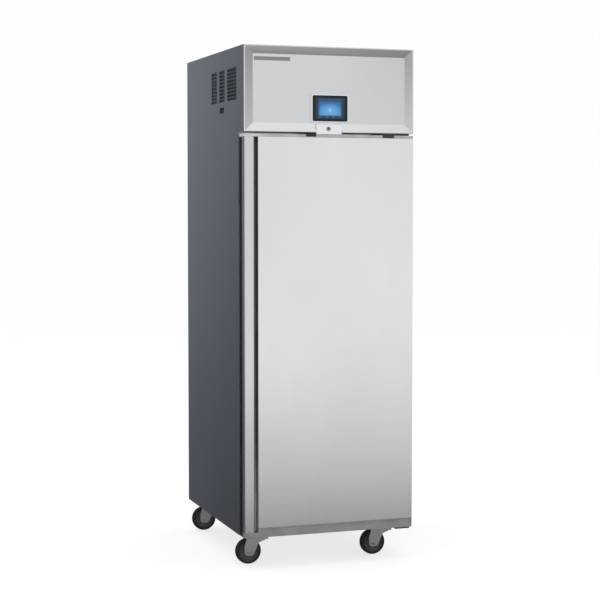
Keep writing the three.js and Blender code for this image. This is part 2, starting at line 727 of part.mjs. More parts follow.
// Slotted upright with a support clip hooked in for each shelf.
function pilaster(side, y) {
  const wall = side * (LINER_HALF - GAP);
  const front = wall - side * PILASTER.depth;
  const strip = box(wall, front, y - PILASTER.half, y + PILASTER.half, PILASTER.bottom, PILASTER.top);
  const slots = [];
  for (let z = SLOT.first; z < SLOT.last; z += SLOT.pitch) {
    const near = front - side * OVERSHOOT;
    const far = front + side * SLOT.depth;
    slots.push(box(near, far, y - SLOT.half, y + SLOT.half, z, z + SLOT.height));
  }
  const clips = SHELF_HEIGHTS.map((height) => {
    const top = height - SHELF_BAR - GAP;
    const root = front + side * OVERSHOOT;
    return box(root, front - side * CLIP.length, y - CLIP.half, y + CLIP.half, top - CLIP.height, top);
  });
  return join(cut(strip, slots), clips);
}

// Wire shelf: an edge frame and wires from front to back.
function shelf(top) {
  const half = LINER_HALF - PILASTER.depth - SHELF_MARGIN.side;
  const [y0, y1] = [FACE + SHELF_MARGIN.front, CAVITY_BACK - SHELF_MARGIN.back];
  const bottom = top - SHELF_BAR;
  const clear = half - SHELF_BAR;
  const rim = cut(
    box(-half, half, y0, y1, bottom, top),
    box(-clear, clear, y0 + SHELF_BAR, y1 - SHELF_BAR, bottom - OVERSHOOT, top + OVERSHOOT),
  );
  const wires = [];
  for (let i = 1; i <= SHELF_WIRES; i += 1) {
    const x = -half + (i * 2 * half) / (SHELF_WIRES + 1);
    const [x0, x1] = [x - SHELF_WIRE / 2, x + SHELF_WIRE / 2];
    wires.push(box(x0, x1, y0 + 2, y1 - 2, top - SHELF_WIRE, top - 0.2));
  }
  return join(rim, wires);
}

const EVAPORATOR = { half: 255, y0: -185, y1: 350, bottom: 1440, fanY: -85 };
const EVAPORATOR_FAN = { radius: 76, depth: 18, rise: 8, blades: 5 };
const OUTLETS = { first: -220, pitch: 76, length: 60, count: 6, bottom: 110, top: 150 };
const GUARD = { sides: 16, halfWire: 1.5, innerRing: 0.45 };
const EVAPORATOR_MOTOR = { radius: 28, bottom: 32, top: 80, strapHalf: 104, strapWide: 9, strap: 3 };
const LIGHT = { half: 200, y0: FACE + 26, y1: FACE + 52, base: 8, height: 18, lensMargin: 4 };

function ringGuard(centre, y, radius, z0, z1) {
  const wire = GUARD.halfWire;
  const long = radius + 2 * wire;
  const rings = [radius, radius * GUARD.innerRing].map((r) => cut(
    rod('z', [centre, y], r + wire, z0, z1, GUARD.sides),
    rod('z', [centre, y], r - wire, z0 - OVERSHOOT, z1 + OVERSHOOT, GUARD.sides),
  ));
  const across = box(centre - long, centre + long, y - wire, y + wire, z0, z1);
  const along = box(centre - wire, centre + wire, y - long, y + long, z0, z1);
  return join(rings, across, along);
}

// Cover over the evaporator, open to the ceiling, with a guarded fan hole underneath.
function evaporatorCover() {
  const { half, y0, y1, bottom, fanY } = EVAPORATOR;
  const top = CAVITY_CEILING - 2 * GAP - SHEET;
  const shell = cut(
    box(-half, half, y0, y1, bottom, top),
    box(-half + SHEET, half - SHEET, y0 + SHEET, y1 - SHEET, bottom + SHEET, top + OVERSHOOT),
  );
  const holeRadius = EVAPORATOR_FAN.radius + 6;
  const hole = rod('z', [0, fanY], holeRadius, bottom - OVERSHOOT, bottom + SHEET + OVERSHOOT);
  const outlets = [];
  for (let i = 0; i < OUTLETS.count; i += 1) {
    const x = OUTLETS.first + i * OUTLETS.pitch;
    const [z0, z1] = [bottom + OUTLETS.bottom, bottom + OUTLETS.top];
    outlets.push(box(x, x + OUTLETS.length, y1 - SHEET - OVERSHOOT, y1 + OVERSHOOT, z0, z1));
  }
  const guard = ringGuard(0, fanY, holeRadius + 1, bottom, bottom + SHEET);
  return join(cut(shell, hole, outlets), guard);
}

function finnedBlock(x0, x1, y0, y1, z0, z1, count) {
  const fin = 2;
  const setback = 3;
  const core = box(x0, x1, y0 + setback, y1 - setback, z0 + setback, z1 - setback);
  const fins = [];
  for (let i = 0; i < count; i += 1) {
    const x = x0 + 1 + (i * (x1 - x0 - 2 * fin)) / (count - 1);
    fins.push(box(x, x + fin, y0, y1, z0, z1));
  }
  return join(core, fins);
}

const BLADE = { root: 0.2, reach: 0.78, chord: 0.55, thickness: 1.6, pitch: 0.45 }; // sizes over the radius
const HUB = 0.3;

function fan(radius, depth, blades) {
  const hub = rod('z', [0, 0], radius * HUB, 0, depth, 16);
  const parts = [hub];
  for (let i = 0; i < blades; i += 1) {
    const reach = radius * BLADE.reach;
    const blade = new THREE.BoxGeometry(reach, radius * BLADE.chord, BLADE.thickness);
    blade.rotateX(BLADE.pitch).translate(radius * BLADE.root + reach / 2, 0, depth / 2);
    blade.rotateZ((i * 2 * Math.PI) / blades);
    parts.push(solid(blade));
  }
  return join(parts);
}

function evaporatorMotor() {
  const { bottom, fanY } = EVAPORATOR;
  const { radius, strapHalf, strapWide, strap } = EVAPORATOR_MOTOR;
  const top = bottom + EVAPORATOR_MOTOR.top;
  const body = rod('z', [0, fanY], radius, bottom + EVAPORATOR_MOTOR.bottom, top, 20);
  const bridge = box(-strapHalf, strapHalf, fanY - strapWide, fanY + strapWide, top - 1, top + strap - 1);
  const legs = [-1, 1].map((side) => box(
    side * (strapHalf - strap), side * strapHalf, fanY - strapWide, fanY + strapWide,
    bottom + SHEET + GAP, top + strap - 1,
  ));
  return join(body, bridge, legs);
}

function interior() {
  const { half, y0, y1, bottom, fanY } = EVAPORATOR;
  const pieces = [];
  const names = { '-1': 'left', 1: 'right' };
  for (const side of [-1, 1]) {
    PILASTER_Y.forEach((y, i) => {
      const name = `pilaster_${i ? 'rear' : 'front'}_${names[side]}`;
      pieces.push(named(name, pilaster(side, y), FINISH.stainless()));
    });
  }
  SHELF_HEIGHTS.forEach((z, i) => {
    pieces.push(named(`shelf_${['lower', 'middle', 'upper'][i]}`, shelf(z), FINISH.coatedWire()));
  });
  const { radius, depth, rise, blades: bladeCount } = EVAPORATOR_FAN;
  const blades = named('evaporator_fan', fan(radius, depth, bladeCount), FINISH.blackPlastic());
  blades.position.set(0, fanY, bottom + rise);
  const ceiling = CAVITY_CEILING - GAP - SHEET - GAP;
  const edge = LIGHT.lensMargin;
  const light = join(
    box(-LIGHT.half, LIGHT.half, LIGHT.y0, LIGHT.y1, ceiling - LIGHT.base, ceiling),
    box(
      -LIGHT.half + edge, LIGHT.half - edge, LIGHT.y0 + edge, LIGHT.y1 - edge,
      ceiling - LIGHT.height, ceiling - LIGHT.base + 1,
    ),
  );
  return assembly(
    pieces,
    named('evaporator_cover', evaporatorCover(), FINISH.whiteLiner()),
    named(
      'evaporator_coil',
      finnedBlock(-half + 20, half - 20, y0 + 205, y1 - 30, bottom + 22, bottom + 160, 24),
      FINISH.aluminium(),
    ),
    named('evaporator_motor', evaporatorMotor(), FINISH.blackPaint()),
    blades,
    named('interior_light', light, FINISH.lens()),
  );
}

// ---------------------------------------------------------------- condensing unit

const DECK = HEADER_BOTTOM + SHEET + GAP;
const CONDENSER = { x0: -55, x1: 265, y0: -310, y1: -262, z0: DECK, z1: 1960 };
const FAN_X = (CONDENSER.x0 + CONDENSER.x1) / 2;
const FAN_Z = (CONDENSER.z0 + CONDENSER.z1) / 2;
const CONDENSER_FAN = { radius: 108, depth: 22, blades: 5, collar: 9, bore: 6, setback: 8 };
const CONDENSER_MOTOR = { start: 42, radius: 34, length: 62, postHalf: 20, footHalf: 50 };
const COMPRESSOR = { x: -190, y: 130, radius: 76 };
const COMPRESSOR_BASE = { halfX: 95, halfY: 62, z0: 12, z1: 16 };
const COMPRESSOR_FEET = { dx: 82, dy: 50, radius: 11, height: 20 };
const TERMINAL_BOX = { inward: 12, outward: 26, half: 30, z0: 60, z1: 128 };
const DRIER = { radius: 15, from: 80, to: 190 };
const ELECTRICAL_BOX = { x0: 150, x1: 325, y0: 20, y1: 200, height: 100, lid: 3 };

function compressor() {
  const { x, y, radius } = COMPRESSOR;
  const shell = turned([
    [0, DECK + 14], [radius - 10, DECK + 14], [radius, DECK + 28], [radius, DECK + 125],
    [radius - 12, DECK + 160], [radius - 36, DECK + 178], [0, DECK + 184],
  ], x, y, 20);
  const { halfX, halfY, z0, z1 } = COMPRESSOR_BASE;
  const base = box(x - halfX, x + halfX, y - halfY, y + halfY, DECK + z0, DECK + z1);
  const { dx, dy, radius: foot, height } = COMPRESSOR_FEET;
  const feet = [];
  for (const sideX of [-dx, dx]) {
    for (const sideY of [-dy, dy]) {
      feet.push(rod('z', [x + sideX, y + sideY], foot, DECK, DECK + height, 12));
    }
  }
  const terminals = box(
    x + radius - TERMINAL_BOX.inward, x + radius + TERMINAL_BOX.outward,
    y - TERMINAL_BOX.half, y + TERMINAL_BOX.half, DECK + TERMINAL_BOX.z0, DECK + TERMINAL_BOX.z1,
  );
  return join(shell, base, feet, terminals);
}

function condenserShroud() {
  const { x0, x1, y1, z0, z1 } = CONDENSER;
  const { radius, depth, collar, bore, setback } = CONDENSER_FAN;
  const centre = [FAN_X, FAN_Z];
  const end = y1 + setback + depth;
  const sheet = box(x0, x1, y1 + GAP, y1 + GAP + 2, z0, z1);
  const ring = rod('y', centre, radius + collar, y1 + GAP, end, 28);
  const clear = rod('y', centre, radius + bore, y1 - OVERSHOOT, end + OVERSHOOT, 28);
  return cut(join(sheet, ring), clear);
}

function condenserMotor() {
  const { radius, length, postHalf, footHalf } = CONDENSER_MOTOR;
  const start = CONDENSER.y1 + CONDENSER_MOTOR.start;
  const body = rod('y', [FAN_X, FAN_Z], radius, start, start + length, 20);
  const post = box(FAN_X - postHalf, FAN_X + postHalf, start + 20, start + 24, DECK, FAN_Z);
  const foot = box(FAN_X - footHalf, FAN_X + footHalf, start + 5, start + 45, DECK, DECK + 3);
  return join(body, post, foot);
}

// Liquid line from the condenser's outlet, with the filter drier in it, down through the deck.
function liquidLine() {
  const [x, y] = [-40, -225];
  const route = [
    [x - 18, CONDENSER.y0 + 24, DECK + 30],
    [x - 40, CONDENSER.y0 + 30, DECK + 30],
    [x - 62, y + 10, DECK + 34],
    [x - 64, y + 60, DECK + 40],
    [x - 64, y + 220, DECK + 40],
    [x - 60, y + 262, DECK + 34],
    [x - 58, y + 280, DECK + 4],
  ];
  const line = tube(route, 4, 30);
  const drier = rod('y', [x - 64, DECK + 40], DRIER.radius, y + DRIER.from, y + DRIER.to, 16);
  return join(line, drier);
}

// Suction line from the deck back up to the compressor's shoulder.
function suctionLine() {
  const { x, y, radius } = COMPRESSOR;
  const route = [
    [x + radius - 6, y - 52, DECK + 112],
    [x + radius + 20, y - 78, DECK + 124],
    [x + radius + 62, y - 90, DECK + 118],
    [x + radius + 80, y - 94, DECK + 80],
    [x + radius + 82, y - 94, DECK + 4],
  ];
  return tube(route, 7, 22);
}

function electricalBox() {
  const { x0, x1, y0, y1, height, lid } = ELECTRICAL_BOX;
  const body = box(x0, x1, y0, y1, DECK, DECK + height);
  const cover = box(x0 - lid, x1 + lid, y0 - lid, y1 + lid, DECK + height - 1, DECK + height + lid);
  return join(body, cover);
}

function condensingUnit() {
  const { x0, x1, y0, y1, z0, z1 } = CONDENSER;
  const { radius, depth, blades: bladeCount, setback } = CONDENSER_FAN;
  const blades = named('condenser_fan', fan(radius, depth, bladeCount), FINISH.aluminium());
  blades.rotation.x = -Math.PI / 2;
  blades.position.set(FAN_X, y1 + setback, FAN_Z);
  return assembly(
    named('compressor', compressor(), FINISH.blackPaint()),
    named('condenser_coil', finnedBlock(x0, x1, y0, y1, z0, z1, 26), FINISH.aluminium()),
    named('condenser_shroud', condenserShroud(), FINISH.blackPaint()),
    named('condenser_motor', condenserMotor(), FINISH.zinc()),
    blades,
    named('liquid_line', liquidLine(), FINISH.copper()),
    named('suction_line', suctionLine(), FINISH.copper()),
    named('electrical_box', electricalBox(), FINISH.galvanised()),
  );
}

// ---------------------------------------------------------------- casters

const HEAD_TOP = CABINET_BOTTOM - GAP;
const RAIL = { half: 45, thickness: 3, front: FACE + 8, back: INSIDE_BACK - 6 };
const RACEWAY = { bottom: 114, radius: 31 };
const LEG_GAP = 18; // half the clear width between the fork's legs
const LEG_THICKNESS = 3.5;
const CROWN = { radius: 34, thickness: 6 };
const AXLE = { radius: 5, overhang: 9 };
const BRAKE = { x: 37, z: 104, radius: 4.5, half: 13 }; // pivot of the lever, and its half width

// Steel rail under each side of the cabinet, with the fixed half of both casters on it.
function casterRail() {
  const strip = box(-RAIL.half, RAIL.half, RAIL.front, RAIL.back, HEAD_TOP - RAIL.thickness, HEAD_TOP);
  const races = [FACE + CASTER_INSET, BACK - CASTER_INSET].map(
    (y) => rod('z', [0, y], RACEWAY.radius, RACEWAY.bottom, HEAD_TOP - 1, 24),
  );
  return join(strip, races);
}

// The swivelling half, about its own vertical axis at x = y = 0, with the wheel trailing to -X.
function fork() {
  const top = RACEWAY.bottom - GAP;
  const legOuter = LEG_GAP + LEG_THICKNESS;
  const crown = rod('z', [0, 0], CROWN.radius, top - CROWN.thickness, top, 24);
  const bridge = box(-38, 30, -legOuter, legOuter, top - 9, top - 3);
  const outline = [
    [42, top - 3], [-42, top - 3], [-54, 74], [-54, 44], [-46, 34],
    [-22, 34], [-14, 44], [4, 84], [42, 99],
  ];
  const legs = [-1, 1].map((side) => {
    const inner = side * LEG_GAP;
    const outer = side * legOuter;
    return prismY(outline, Math.min(inner, outer), Math.max(inner, outer));
  });
  const reach = LEG_GAP + AXLE.overhang;
  const axle = rod('y', [-WHEEL_TRAIL, WHEEL_RADIUS], AXLE.radius, -reach, reach, 12);
  return join(crown, bridge, legs, axle);
}

function wheel() {
  const tread = 16;
  const half = [[6, 15], [16, 15], [18, 8], [36, 8], [40, tread], [46, tread], [WHEEL_RADIUS, 9]];
  const mirrored = half.map(([radius, across]) => [radius, -across]).reverse();
  const profile = [...half, ...mirrored, half[0]];
  const points = profile.map(([radius, across]) => new THREE.Vector2(radius, across));
  return solid(new THREE.LatheGeometry(points, 24));
}

function brakeLever() {
  const outline = [[34, 107], [34, 100], [40, 95], [46, 93], [46, 97], [43, 101], [40, 107]];
  const pedal = prismY(outline, -BRAKE.half, BRAKE.half);
  const barrel = rod('y', [BRAKE.x, BRAKE.z], BRAKE.radius, GAP - LEG_GAP, LEG_GAP - GAP, 12);
  return join(pedal, barrel);
}

function casters() {
  const pieces = [];
  const axisX = CASTER_SPACING / 2;
  const axisY = { front: FACE + CASTER_INSET, rear: BACK - CASTER_INSET };
  for (const [side, x] of [['left', -axisX], ['right', axisX]]) {
    const rail = named(`caster_rail_${side}`, casterRail(), FINISH.galvanised());
    rail.position.x = x;
    pieces.push(rail);
    for (const end of ['front', 'rear']) {
      const caster = new THREE.Group();
      caster.position.set(x, axisY[end], 0);
      const roller = named(`wheel_${end}_${side}`, wheel(), FINISH.rubber());
      roller.position.set(-WHEEL_TRAIL, 0, WHEEL_RADIUS);
      caster.add(named(`fork_${end}_${side}`, fork(), FINISH.zinc()), roller);
      if (end === 'front') {
        caster.add(named(`brake_lever_${side}`, brakeLever(), FINISH.blackPlastic()));
      }
      pieces.push(caster);
    }
  }
  return assembly(pieces);
}

// ---------------------------------------------------------------- the whole object

const group = assembly(
  cabinetShell(),
  header(),
  door(),
  named('top_hinge', topHinge(), FINISH.blackPaint()),
  named('bottom_hinge', bottomHinge(), FINISH.blackPaint()),
  interior(),
  condensingUnit(),
  casters(),
);
group.name = 'reach_in_refrigerator';

export default group;
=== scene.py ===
# The finished look of a one-section reach-in refrigerator, built around its CAD frame.
# Metres, in the frame's own axes: +X right seen from the front, +Y towards the back, +Z up.

import json
import math

import bmesh
import bpy
from mathutils import Matrix, Vector


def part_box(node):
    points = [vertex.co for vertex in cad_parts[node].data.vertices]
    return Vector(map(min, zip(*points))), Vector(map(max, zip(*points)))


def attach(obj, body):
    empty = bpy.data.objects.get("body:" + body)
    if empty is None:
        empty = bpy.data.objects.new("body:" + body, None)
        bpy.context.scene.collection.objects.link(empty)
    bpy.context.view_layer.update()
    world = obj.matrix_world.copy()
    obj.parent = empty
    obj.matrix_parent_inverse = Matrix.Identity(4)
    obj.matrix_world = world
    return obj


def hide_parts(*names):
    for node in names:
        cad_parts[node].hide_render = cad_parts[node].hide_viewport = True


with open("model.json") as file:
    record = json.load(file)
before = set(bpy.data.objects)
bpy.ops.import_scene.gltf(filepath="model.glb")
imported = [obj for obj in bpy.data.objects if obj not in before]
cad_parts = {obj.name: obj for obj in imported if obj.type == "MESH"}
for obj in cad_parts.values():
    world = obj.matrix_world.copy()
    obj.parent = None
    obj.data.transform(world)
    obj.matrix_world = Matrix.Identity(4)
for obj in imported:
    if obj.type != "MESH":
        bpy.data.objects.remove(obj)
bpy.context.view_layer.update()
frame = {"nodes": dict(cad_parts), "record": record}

BODY_OF_NODE = {
    node: body
    for body, nodes in frame["record"]["behaviour"]["bodies"].items()
    for node in nodes
}


# ---- shapes: lists of points and faces

class Shape:
    """Points and faces of one or more closed surfaces, before they become a mesh."""

    def __init__(self, points, faces):
        self.points = [Vector(p) for p in points]
        self.faces = [tuple(f) for f in faces]

    def moved(self, x=0.0, y=0.0, z=0.0):
        offset = Vector((x, y, z))
        return Shape([p + offset for p in self.points], self.faces)

    def turned(self, angle, axis):
        matrix = Matrix.Rotation(angle, 3, axis)
        return Shape([matrix @ p for p in self.points], self.faces)

    def mirrored_x(self):
        points = [Vector((-p.x, p.y, p.z)) for p in self.points]
        return Shape(points, [tuple(reversed(f)) for f in self.faces])

    def __add__(self, other):
        start = len(self.points)
        shifted = [tuple(i + start for i in face) for face in other.faces]
        return Shape(self.points + other.points, self.faces + shifted)


def mm(rows):
    """Rows of millimetres as rows of metres."""
    return [tuple(0.001 * value for value in row) for row in rows]


def together(shapes):
    shapes = list(shapes)
    total = shapes[0]
    for shape in shapes[1:]:
        total = total + shape
    return total


def block(x0, x1, y0, y1, z0, z1):
    points = [(x, y, z) for z in (z0, z1) for y in (y0, y1) for x in (x0, x1)]
    faces = [(0, 2, 3, 1), (4, 5, 7, 6), (0, 1, 5, 4), (2, 6, 7, 3), (0, 4, 6, 2), (1, 3, 7, 5)]
    return Shape(points, faces)


def spaced(low, high, count):
    """Evenly spaced numbers from low to high."""
    return [low + i * (high - low) / (count - 1) for i in range(count)]


def arc(x, y, radius, start, end, steps):
    """Points of an arc about (x, y). start and end are in quarter turns."""
    angles = [a * math.pi / 2 for a in spaced(start, end, steps + 1)]
    return [(x + radius * math.cos(a), y + radius * math.sin(a)) for a in angles]


def circle(radius, count):
    return arc(0.0, 0.0, radius, 0, 4, count)[:-1]


def lofted(rings, closed=False):
    """Rings of equally many points, each joined to the next. The ends are capped, unless closed."""
    count = len(rings[0])
    points = [point for ring in rings for point in ring]
    faces = []
    for i in range(len(rings) if closed else len(rings) - 1):
        here, there = i * count, (i + 1) % len(rings) * count
        for k in range(count):
            m = (k + 1) % count
            faces.append((here + k, here + m, there + m, there + k))
    if not closed:
        faces.append(tuple(reversed(range(count))))
        faces.append(tuple(range(len(points) - count, len(points))))
    return Shape(points, faces)


def extruded(outline, low, high, axis="z"):
    """A closed outline of pairs, carried from low to high along an axis."""
    place = {
        "x": lambda a, b, height: (height, a, b),
        "y": lambda a, b, height: (a, height, b),
        "z": lambda a, b, height: (a, b, height),
    }[axis]
    return lofted([[place(a, b, height) for a, b in outline] for height in (low, high)])


def revolved(profile, segments=48, closed=False):
    """A profile of (radius, height) pairs turned about Z. Radius 0 closes an end."""
    points, rings = [], []
    for radius, height in profile:
        if radius < 1e-7:
            rings.append([len(points)])
            points.append((0, 0, height))
            continue
        rings.append(list(range(len(points), len(points) + segments)))
        for i in range(segments):
            angle = 2 * math.pi * i / segments
            points.append((radius * math.cos(angle), radius * math.sin(angle), height))
    faces = []
    pairs = list(zip(rings, rings[1:]))
    if closed:
        pairs.append((rings[-1], rings[0]))
    for lower, upper in pairs:
        for i in range(segments):
            j = (i + 1) % segments
            if len(lower) == 1 and len(upper) > 1:
                faces.append((lower[0], upper[j], upper[i]))
            elif len(upper) == 1 and len(lower) > 1:
                faces.append((lower[i], lower[j], upper[0]))
            elif len(lower) > 1:
                faces.append((lower[i], lower[j], upper[j], upper[i]))
    return Shape(points, faces)


def tube(route, radius, sides=12, closed=False):
    """A round tube through the points of a route."""
    route = [Vector(p) for p in route]
    count = len(route)
    tangents = []
    for i in range(count):
        before = route[i - 1] if (i or closed) else route[i]
        after = route[(i + 1) % count] if (i < count - 1 or closed) else route[i]
        tangents.append((after - before).normalized())
    normal = tangents[0].orthogonal().normalized()
    rings = []
    for centre, tangent in zip(route, tangents):
        normal = (normal - tangent * normal.dot(tangent)).normalized()
        side = tangent.cross(normal)
        rings.append([centre + a * normal + b * side for a, b in circle(radius, sides)])
    return lofted(rings, closed)


def rod(start, end, radius, sides=8):
    return tube([start, end], radius, sides)


def smooth_route(knots, steps=10):
    """Catmull-Rom points through the knots."""
    knots = [Vector(k) for k in knots]
    padded = [2 * knots[0] - knots[1], *knots, 2 * knots[-1] - knots[-2]]
    route = []
    for i in range(1, len(padded) - 2):
        a, b, c, d = padded[i - 1:i + 3]
        for s in range(steps):
            t = s / steps
            route.append(0.5 * (
                2 * b + (c - a) * t + (2 * a - 5 * b + 4 * c - d) * t ** 2
                + (3 * b - a - 3 * c + d) * t ** 3
            ))
    route.append(knots[-1])
    return route


def rounded_rectangle(x0, x1, y0, y1, radius, steps=5):
    outline = arc(x1 - radius, y1 - radius, radius, 0, 1, steps)
    outline += arc(x0 + radius, y1 - radius, radius, 1, 2, steps)
    outline += arc(x0 + radius, y0 + radius, radius, 2, 3, steps)
    outline += arc(x1 - radius, y0 + radius, radius, 3, 4, steps)
    return outline


def outline_of(node, across="x", up="z"):
    """The rectangle that a CAD node's box makes along two of its axes."""
    low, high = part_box(node)
    return getattr(low, across), getattr(high, across), getattr(low, up), getattr(high, up)


def inset(rectangle, by):
    x0, x1, y0, y1 = rectangle
    return x0 + by, x1 - by, y0 + by, y1 - by


def framed(section, rectangle):
    """A closed section of (inset, y) pairs carried round an upright rectangle with mitred corners."""
    rings = []
    for by, y in section:
        x0, x1, z0, z1 = inset(rectangle, by)
        rings.append([(x0, y, z0), (x1, y, z0), (x1, y, z1), (x0, y, z1)])
    return lofted(rings, closed=True)


def ring_plate(outer, inner, y0, y1):
    """A flat plate with a hole: two outlines with the same number of points, extruded along Y."""
    edges = ((outer, y0), (inner, y0), (inner, y1), (outer, y1))
    return lofted([[(x, y, z) for x, z in outline] for outline, y in edges], closed=True)


def both_sides(profile):
    """A profile of (radius, height) pairs below the height 0, followed by its mirror image above it."""
    return profile + [(radius, -height) for radius, height in reversed(profile)]


def screw_head(radius, height):
    """A domed screw head with a cross recess, standing on the plane z = 0."""
    arm, half_width = radius * 0.62, radius * 0.15
    angles = [2 * math.pi * i / 32 for i in range(32)]

    def recess(angle):
        c, s = abs(math.cos(angle)), abs(math.sin(angle))
        long, short = max(c, s), min(c, s)
        return min(arm / long, half_width / max(short, 1e-6)) if short < long else half_width * 1.41

    def ring(reach, z):
        return [(reach(a) * math.cos(a), reach(a) * math.sin(a), z) for a in angles]

    return lofted([
        ring(lambda a: radius, 0.0),
        ring(lambda a: radius * 0.97, height * 0.45),
        ring(lambda a: radius * 0.82, height * 0.86),
        ring(lambda a: max(radius * 0.66, recess(a)), height),
        ring(recess, height),
        ring(lambda a: recess(a) * 0.7, height * 0.25),
    ])


FACING = {
    "-y": (math.pi / 2, "X"), "+y": (-math.pi / 2, "X"), "+z": (0.0, "X"), "-z": (math.pi, "X"),
    "-x": (-math.pi / 2, "Y"), "+x": (math.pi / 2, "Y"),
}


def facing(shape, direction):
    """Turns a shape that stands on z = 0 to stand on the plane whose outward normal is given."""
    angle, axis = FACING[direction]
    return shape.turned(angle, axis)


def screws(places, direction, radius=0.0036, height=0.0018):
    head = facing(screw_head(radius, height), direction)
    return together(head.moved(*place) for place in places)


def hexagon(radius, height):
    return extruded(circle(radius, 6), 0.0, height)


def disc(radius, height, segments=32):
    return revolved([(0.0, 0.0), (radius, 0.0), (radius, height), (0.0, height)], segments)


# ---- pieces

def placed(name, data):
    obj = bpy.data.objects.new(name, data)
    bpy.context.scene.collection.objects.link(obj)
    return obj


def finished(name, mesh, material, body, replaces, bevel, segments, angle):
    """Makes one visible piece from a mesh, with its outer edges rounded, riding on a CAD body."""
    obj = placed(name, mesh)
    mesh.materials.append(material)
    for polygon in mesh.polygons:
        polygon.use_smooth = True
    mesh.set_sharp_from_angle(angle=math.radians(angle))
    if bevel:
        modifier = obj.modifiers.new("edges", "BEVEL")
        modifier.width = bevel
        modifier.segments = segments
        modifier.limit_method = "ANGLE"
        modifier.angle_limit = math.radians(angle)
        modifier.harden_normals = True
        modifier.use_clamp_overlap = True
    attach(obj, body)
    if replaces:
        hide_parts(*replaces)


def piece(name, shape, material, body="cabinet", replaces=(), bevel=0.0, segments=2, angle=35):
    """Makes one visible piece from a shape or a list of shapes."""
    if not isinstance(shape, Shape):
        shape = together(shape)
    mesh = bpy.data.meshes.new(name)
    mesh.from_pydata([tuple(p) for p in shape.points], [], shape.faces)
    work = bmesh.new()
    work.from_mesh(mesh)
    bmesh.ops.recalc_face_normals(work, faces=work.faces)
    work.to_mesh(mesh)
    work.free()
    finished(name, mesh, material, body, replaces, bevel, segments, angle)


def refined(node, material, bevel=0.0006, segments=2, angle=35):
    """Stands for a CAD node with the same shape: flat faces made whole and edges rounded."""
    work = bmesh.new()
    work.from_mesh(frame["nodes"][node].data)
    bmesh.ops.remove_doubles(work, verts=work.verts, dist=2e-6)
    bmesh.ops.dissolve_limit(
        work, angle_limit=math.radians(0.5), verts=work.verts, edges=work.edges, delimit=set(),
    )
    bmesh.ops.recalc_face_normals(work, faces=work.faces)
    name = node + "_finish"
    clean = bpy.data.meshes.new(name)
    work.to_mesh(clean)
    work.free()
    finished(name, clean, material, BODY_OF_NODE[node], (node,), bevel, segments, angle)


def foamed(node):
    """A CAD node that is out of sight inside its skins keeps its mesh, and gets the foam's material."""
    materials = frame["nodes"][node].data.materials
    materials.clear()
    materials.append(FOAM)


# ---- material nodes

def shade(colour, factor):
    return tuple(min(1.0, channel * factor) for channel in colour)


class Nodes:
    """A node material whose steps are added one by one."""

    def __init__(self, name):
        self.material = bpy.data.materials.new(name)
        self.material.use_nodes = True
        self.tree = self.material.node_tree
        self.where = self.tree.nodes.new("ShaderNodeTexCoord").outputs["Object"]

    def feed(self, socket, value):
        """Links an output to the socket, or sets the socket's own number or colour."""
        if isinstance(value, bpy.types.NodeSocket):
            self.tree.links.new(value, socket)
        elif socket.type == "RGBA":
            socket.default_value = (*value, 1.0)
        else:
            socket.default_value = value

    def add(self, kind, **inputs):
        node = self.tree.nodes.new(kind)
        for name, value in inputs.items():
            self.feed(node.inputs[name.replace("_", " ")], value)
        return node

    def axes(self, vector=None):
        """The X, Y and Z of a vector, or of the place on the object."""
        return self.add("ShaderNodeSeparateXYZ", Vector=vector or self.where).outputs

    def scaled(self, x, y, z):
        return self.add("ShaderNodeMapping", Vector=self.where, Scale=(x, y, z)).outputs["Vector"]

    def noise(self, vector, scale, detail=3.0, roughness=0.55, distortion=0.0):
        node = self.add("ShaderNodeTexNoise", Vector=vector, Scale=scale, Detail=detail,
                        Roughness=roughness, Distortion=distortion)
        return node.outputs["Fac"]

    def span(self, value, low, high, start=0.3, end=0.7):
        """Maps start..end to low..high."""
        numbers = {"From_Min": start, "From_Max": end, "To_Min": low, "To_Max": high}
        return self.add("ShaderNodeMapRange", Value=value, **numbers).outputs["Result"]

    def math(self, operation, a, b):
        node = self.tree.nodes.new("ShaderNodeMath")
        node.operation = operation
        self.feed(node.inputs[0], a)
        self.feed(node.inputs[1], b)
        return node.outputs["Value"]

    def blend(self, factor, first, second, kind="MIX"):
        node = self.tree.nodes.new("ShaderNodeMix")
        node.data_type = "RGBA"
        node.blend_type = kind
        for socket, value in ((0, factor), (6, first), (7, second)):  # its factor, and its two colours
            self.feed(node.inputs[socket], value)
        return node.outputs[2]

    def varied(self, noise, colour, low, high):
        """A colour that follows the noise from low to high times its own brightness."""
        return self.blend(self.span(noise, 0.0, 1.0), shade(colour, low), shade(colour, high))

    def toned(self, tone, factor, where=1.0):
        """Multiplies a tone by a factor, as far as where is 1."""
        return self.blend(where, tone, (factor, factor, factor), "MULTIPLY")

    def faded(self, tone, fades):
        """Multiplies a tone along an axis. Each fade is the axis, where it starts and ends, the factor."""
        for axis, start, end, factor in fades:
            tone = self.toned(tone, factor, self.span(self.axes()[axis], 0.0, 1.0, start, end))
        return tone


class Surface(Nodes):
    """A material with one shader for the whole surface."""

    def __init__(self, name, roughness, metallic=0.0):
        super().__init__(name)
        self.shader = self.tree.nodes["Principled BSDF"]
        self.drive(Roughness=roughness, Metallic=metallic)

    def drive(self, **inputs):
        """Feeds the shader. What is the same all over is given as a number or a colour."""
        for name, value in inputs.items():
            self.feed(self.shader.inputs[name.replace("_", " ")], value)

    def bump(self, height, strength, distance):
        node = self.add("ShaderNodeBump", Height=height, Strength=strength, Distance=distance)
        self.drive(Normal=node.outputs["Normal"])


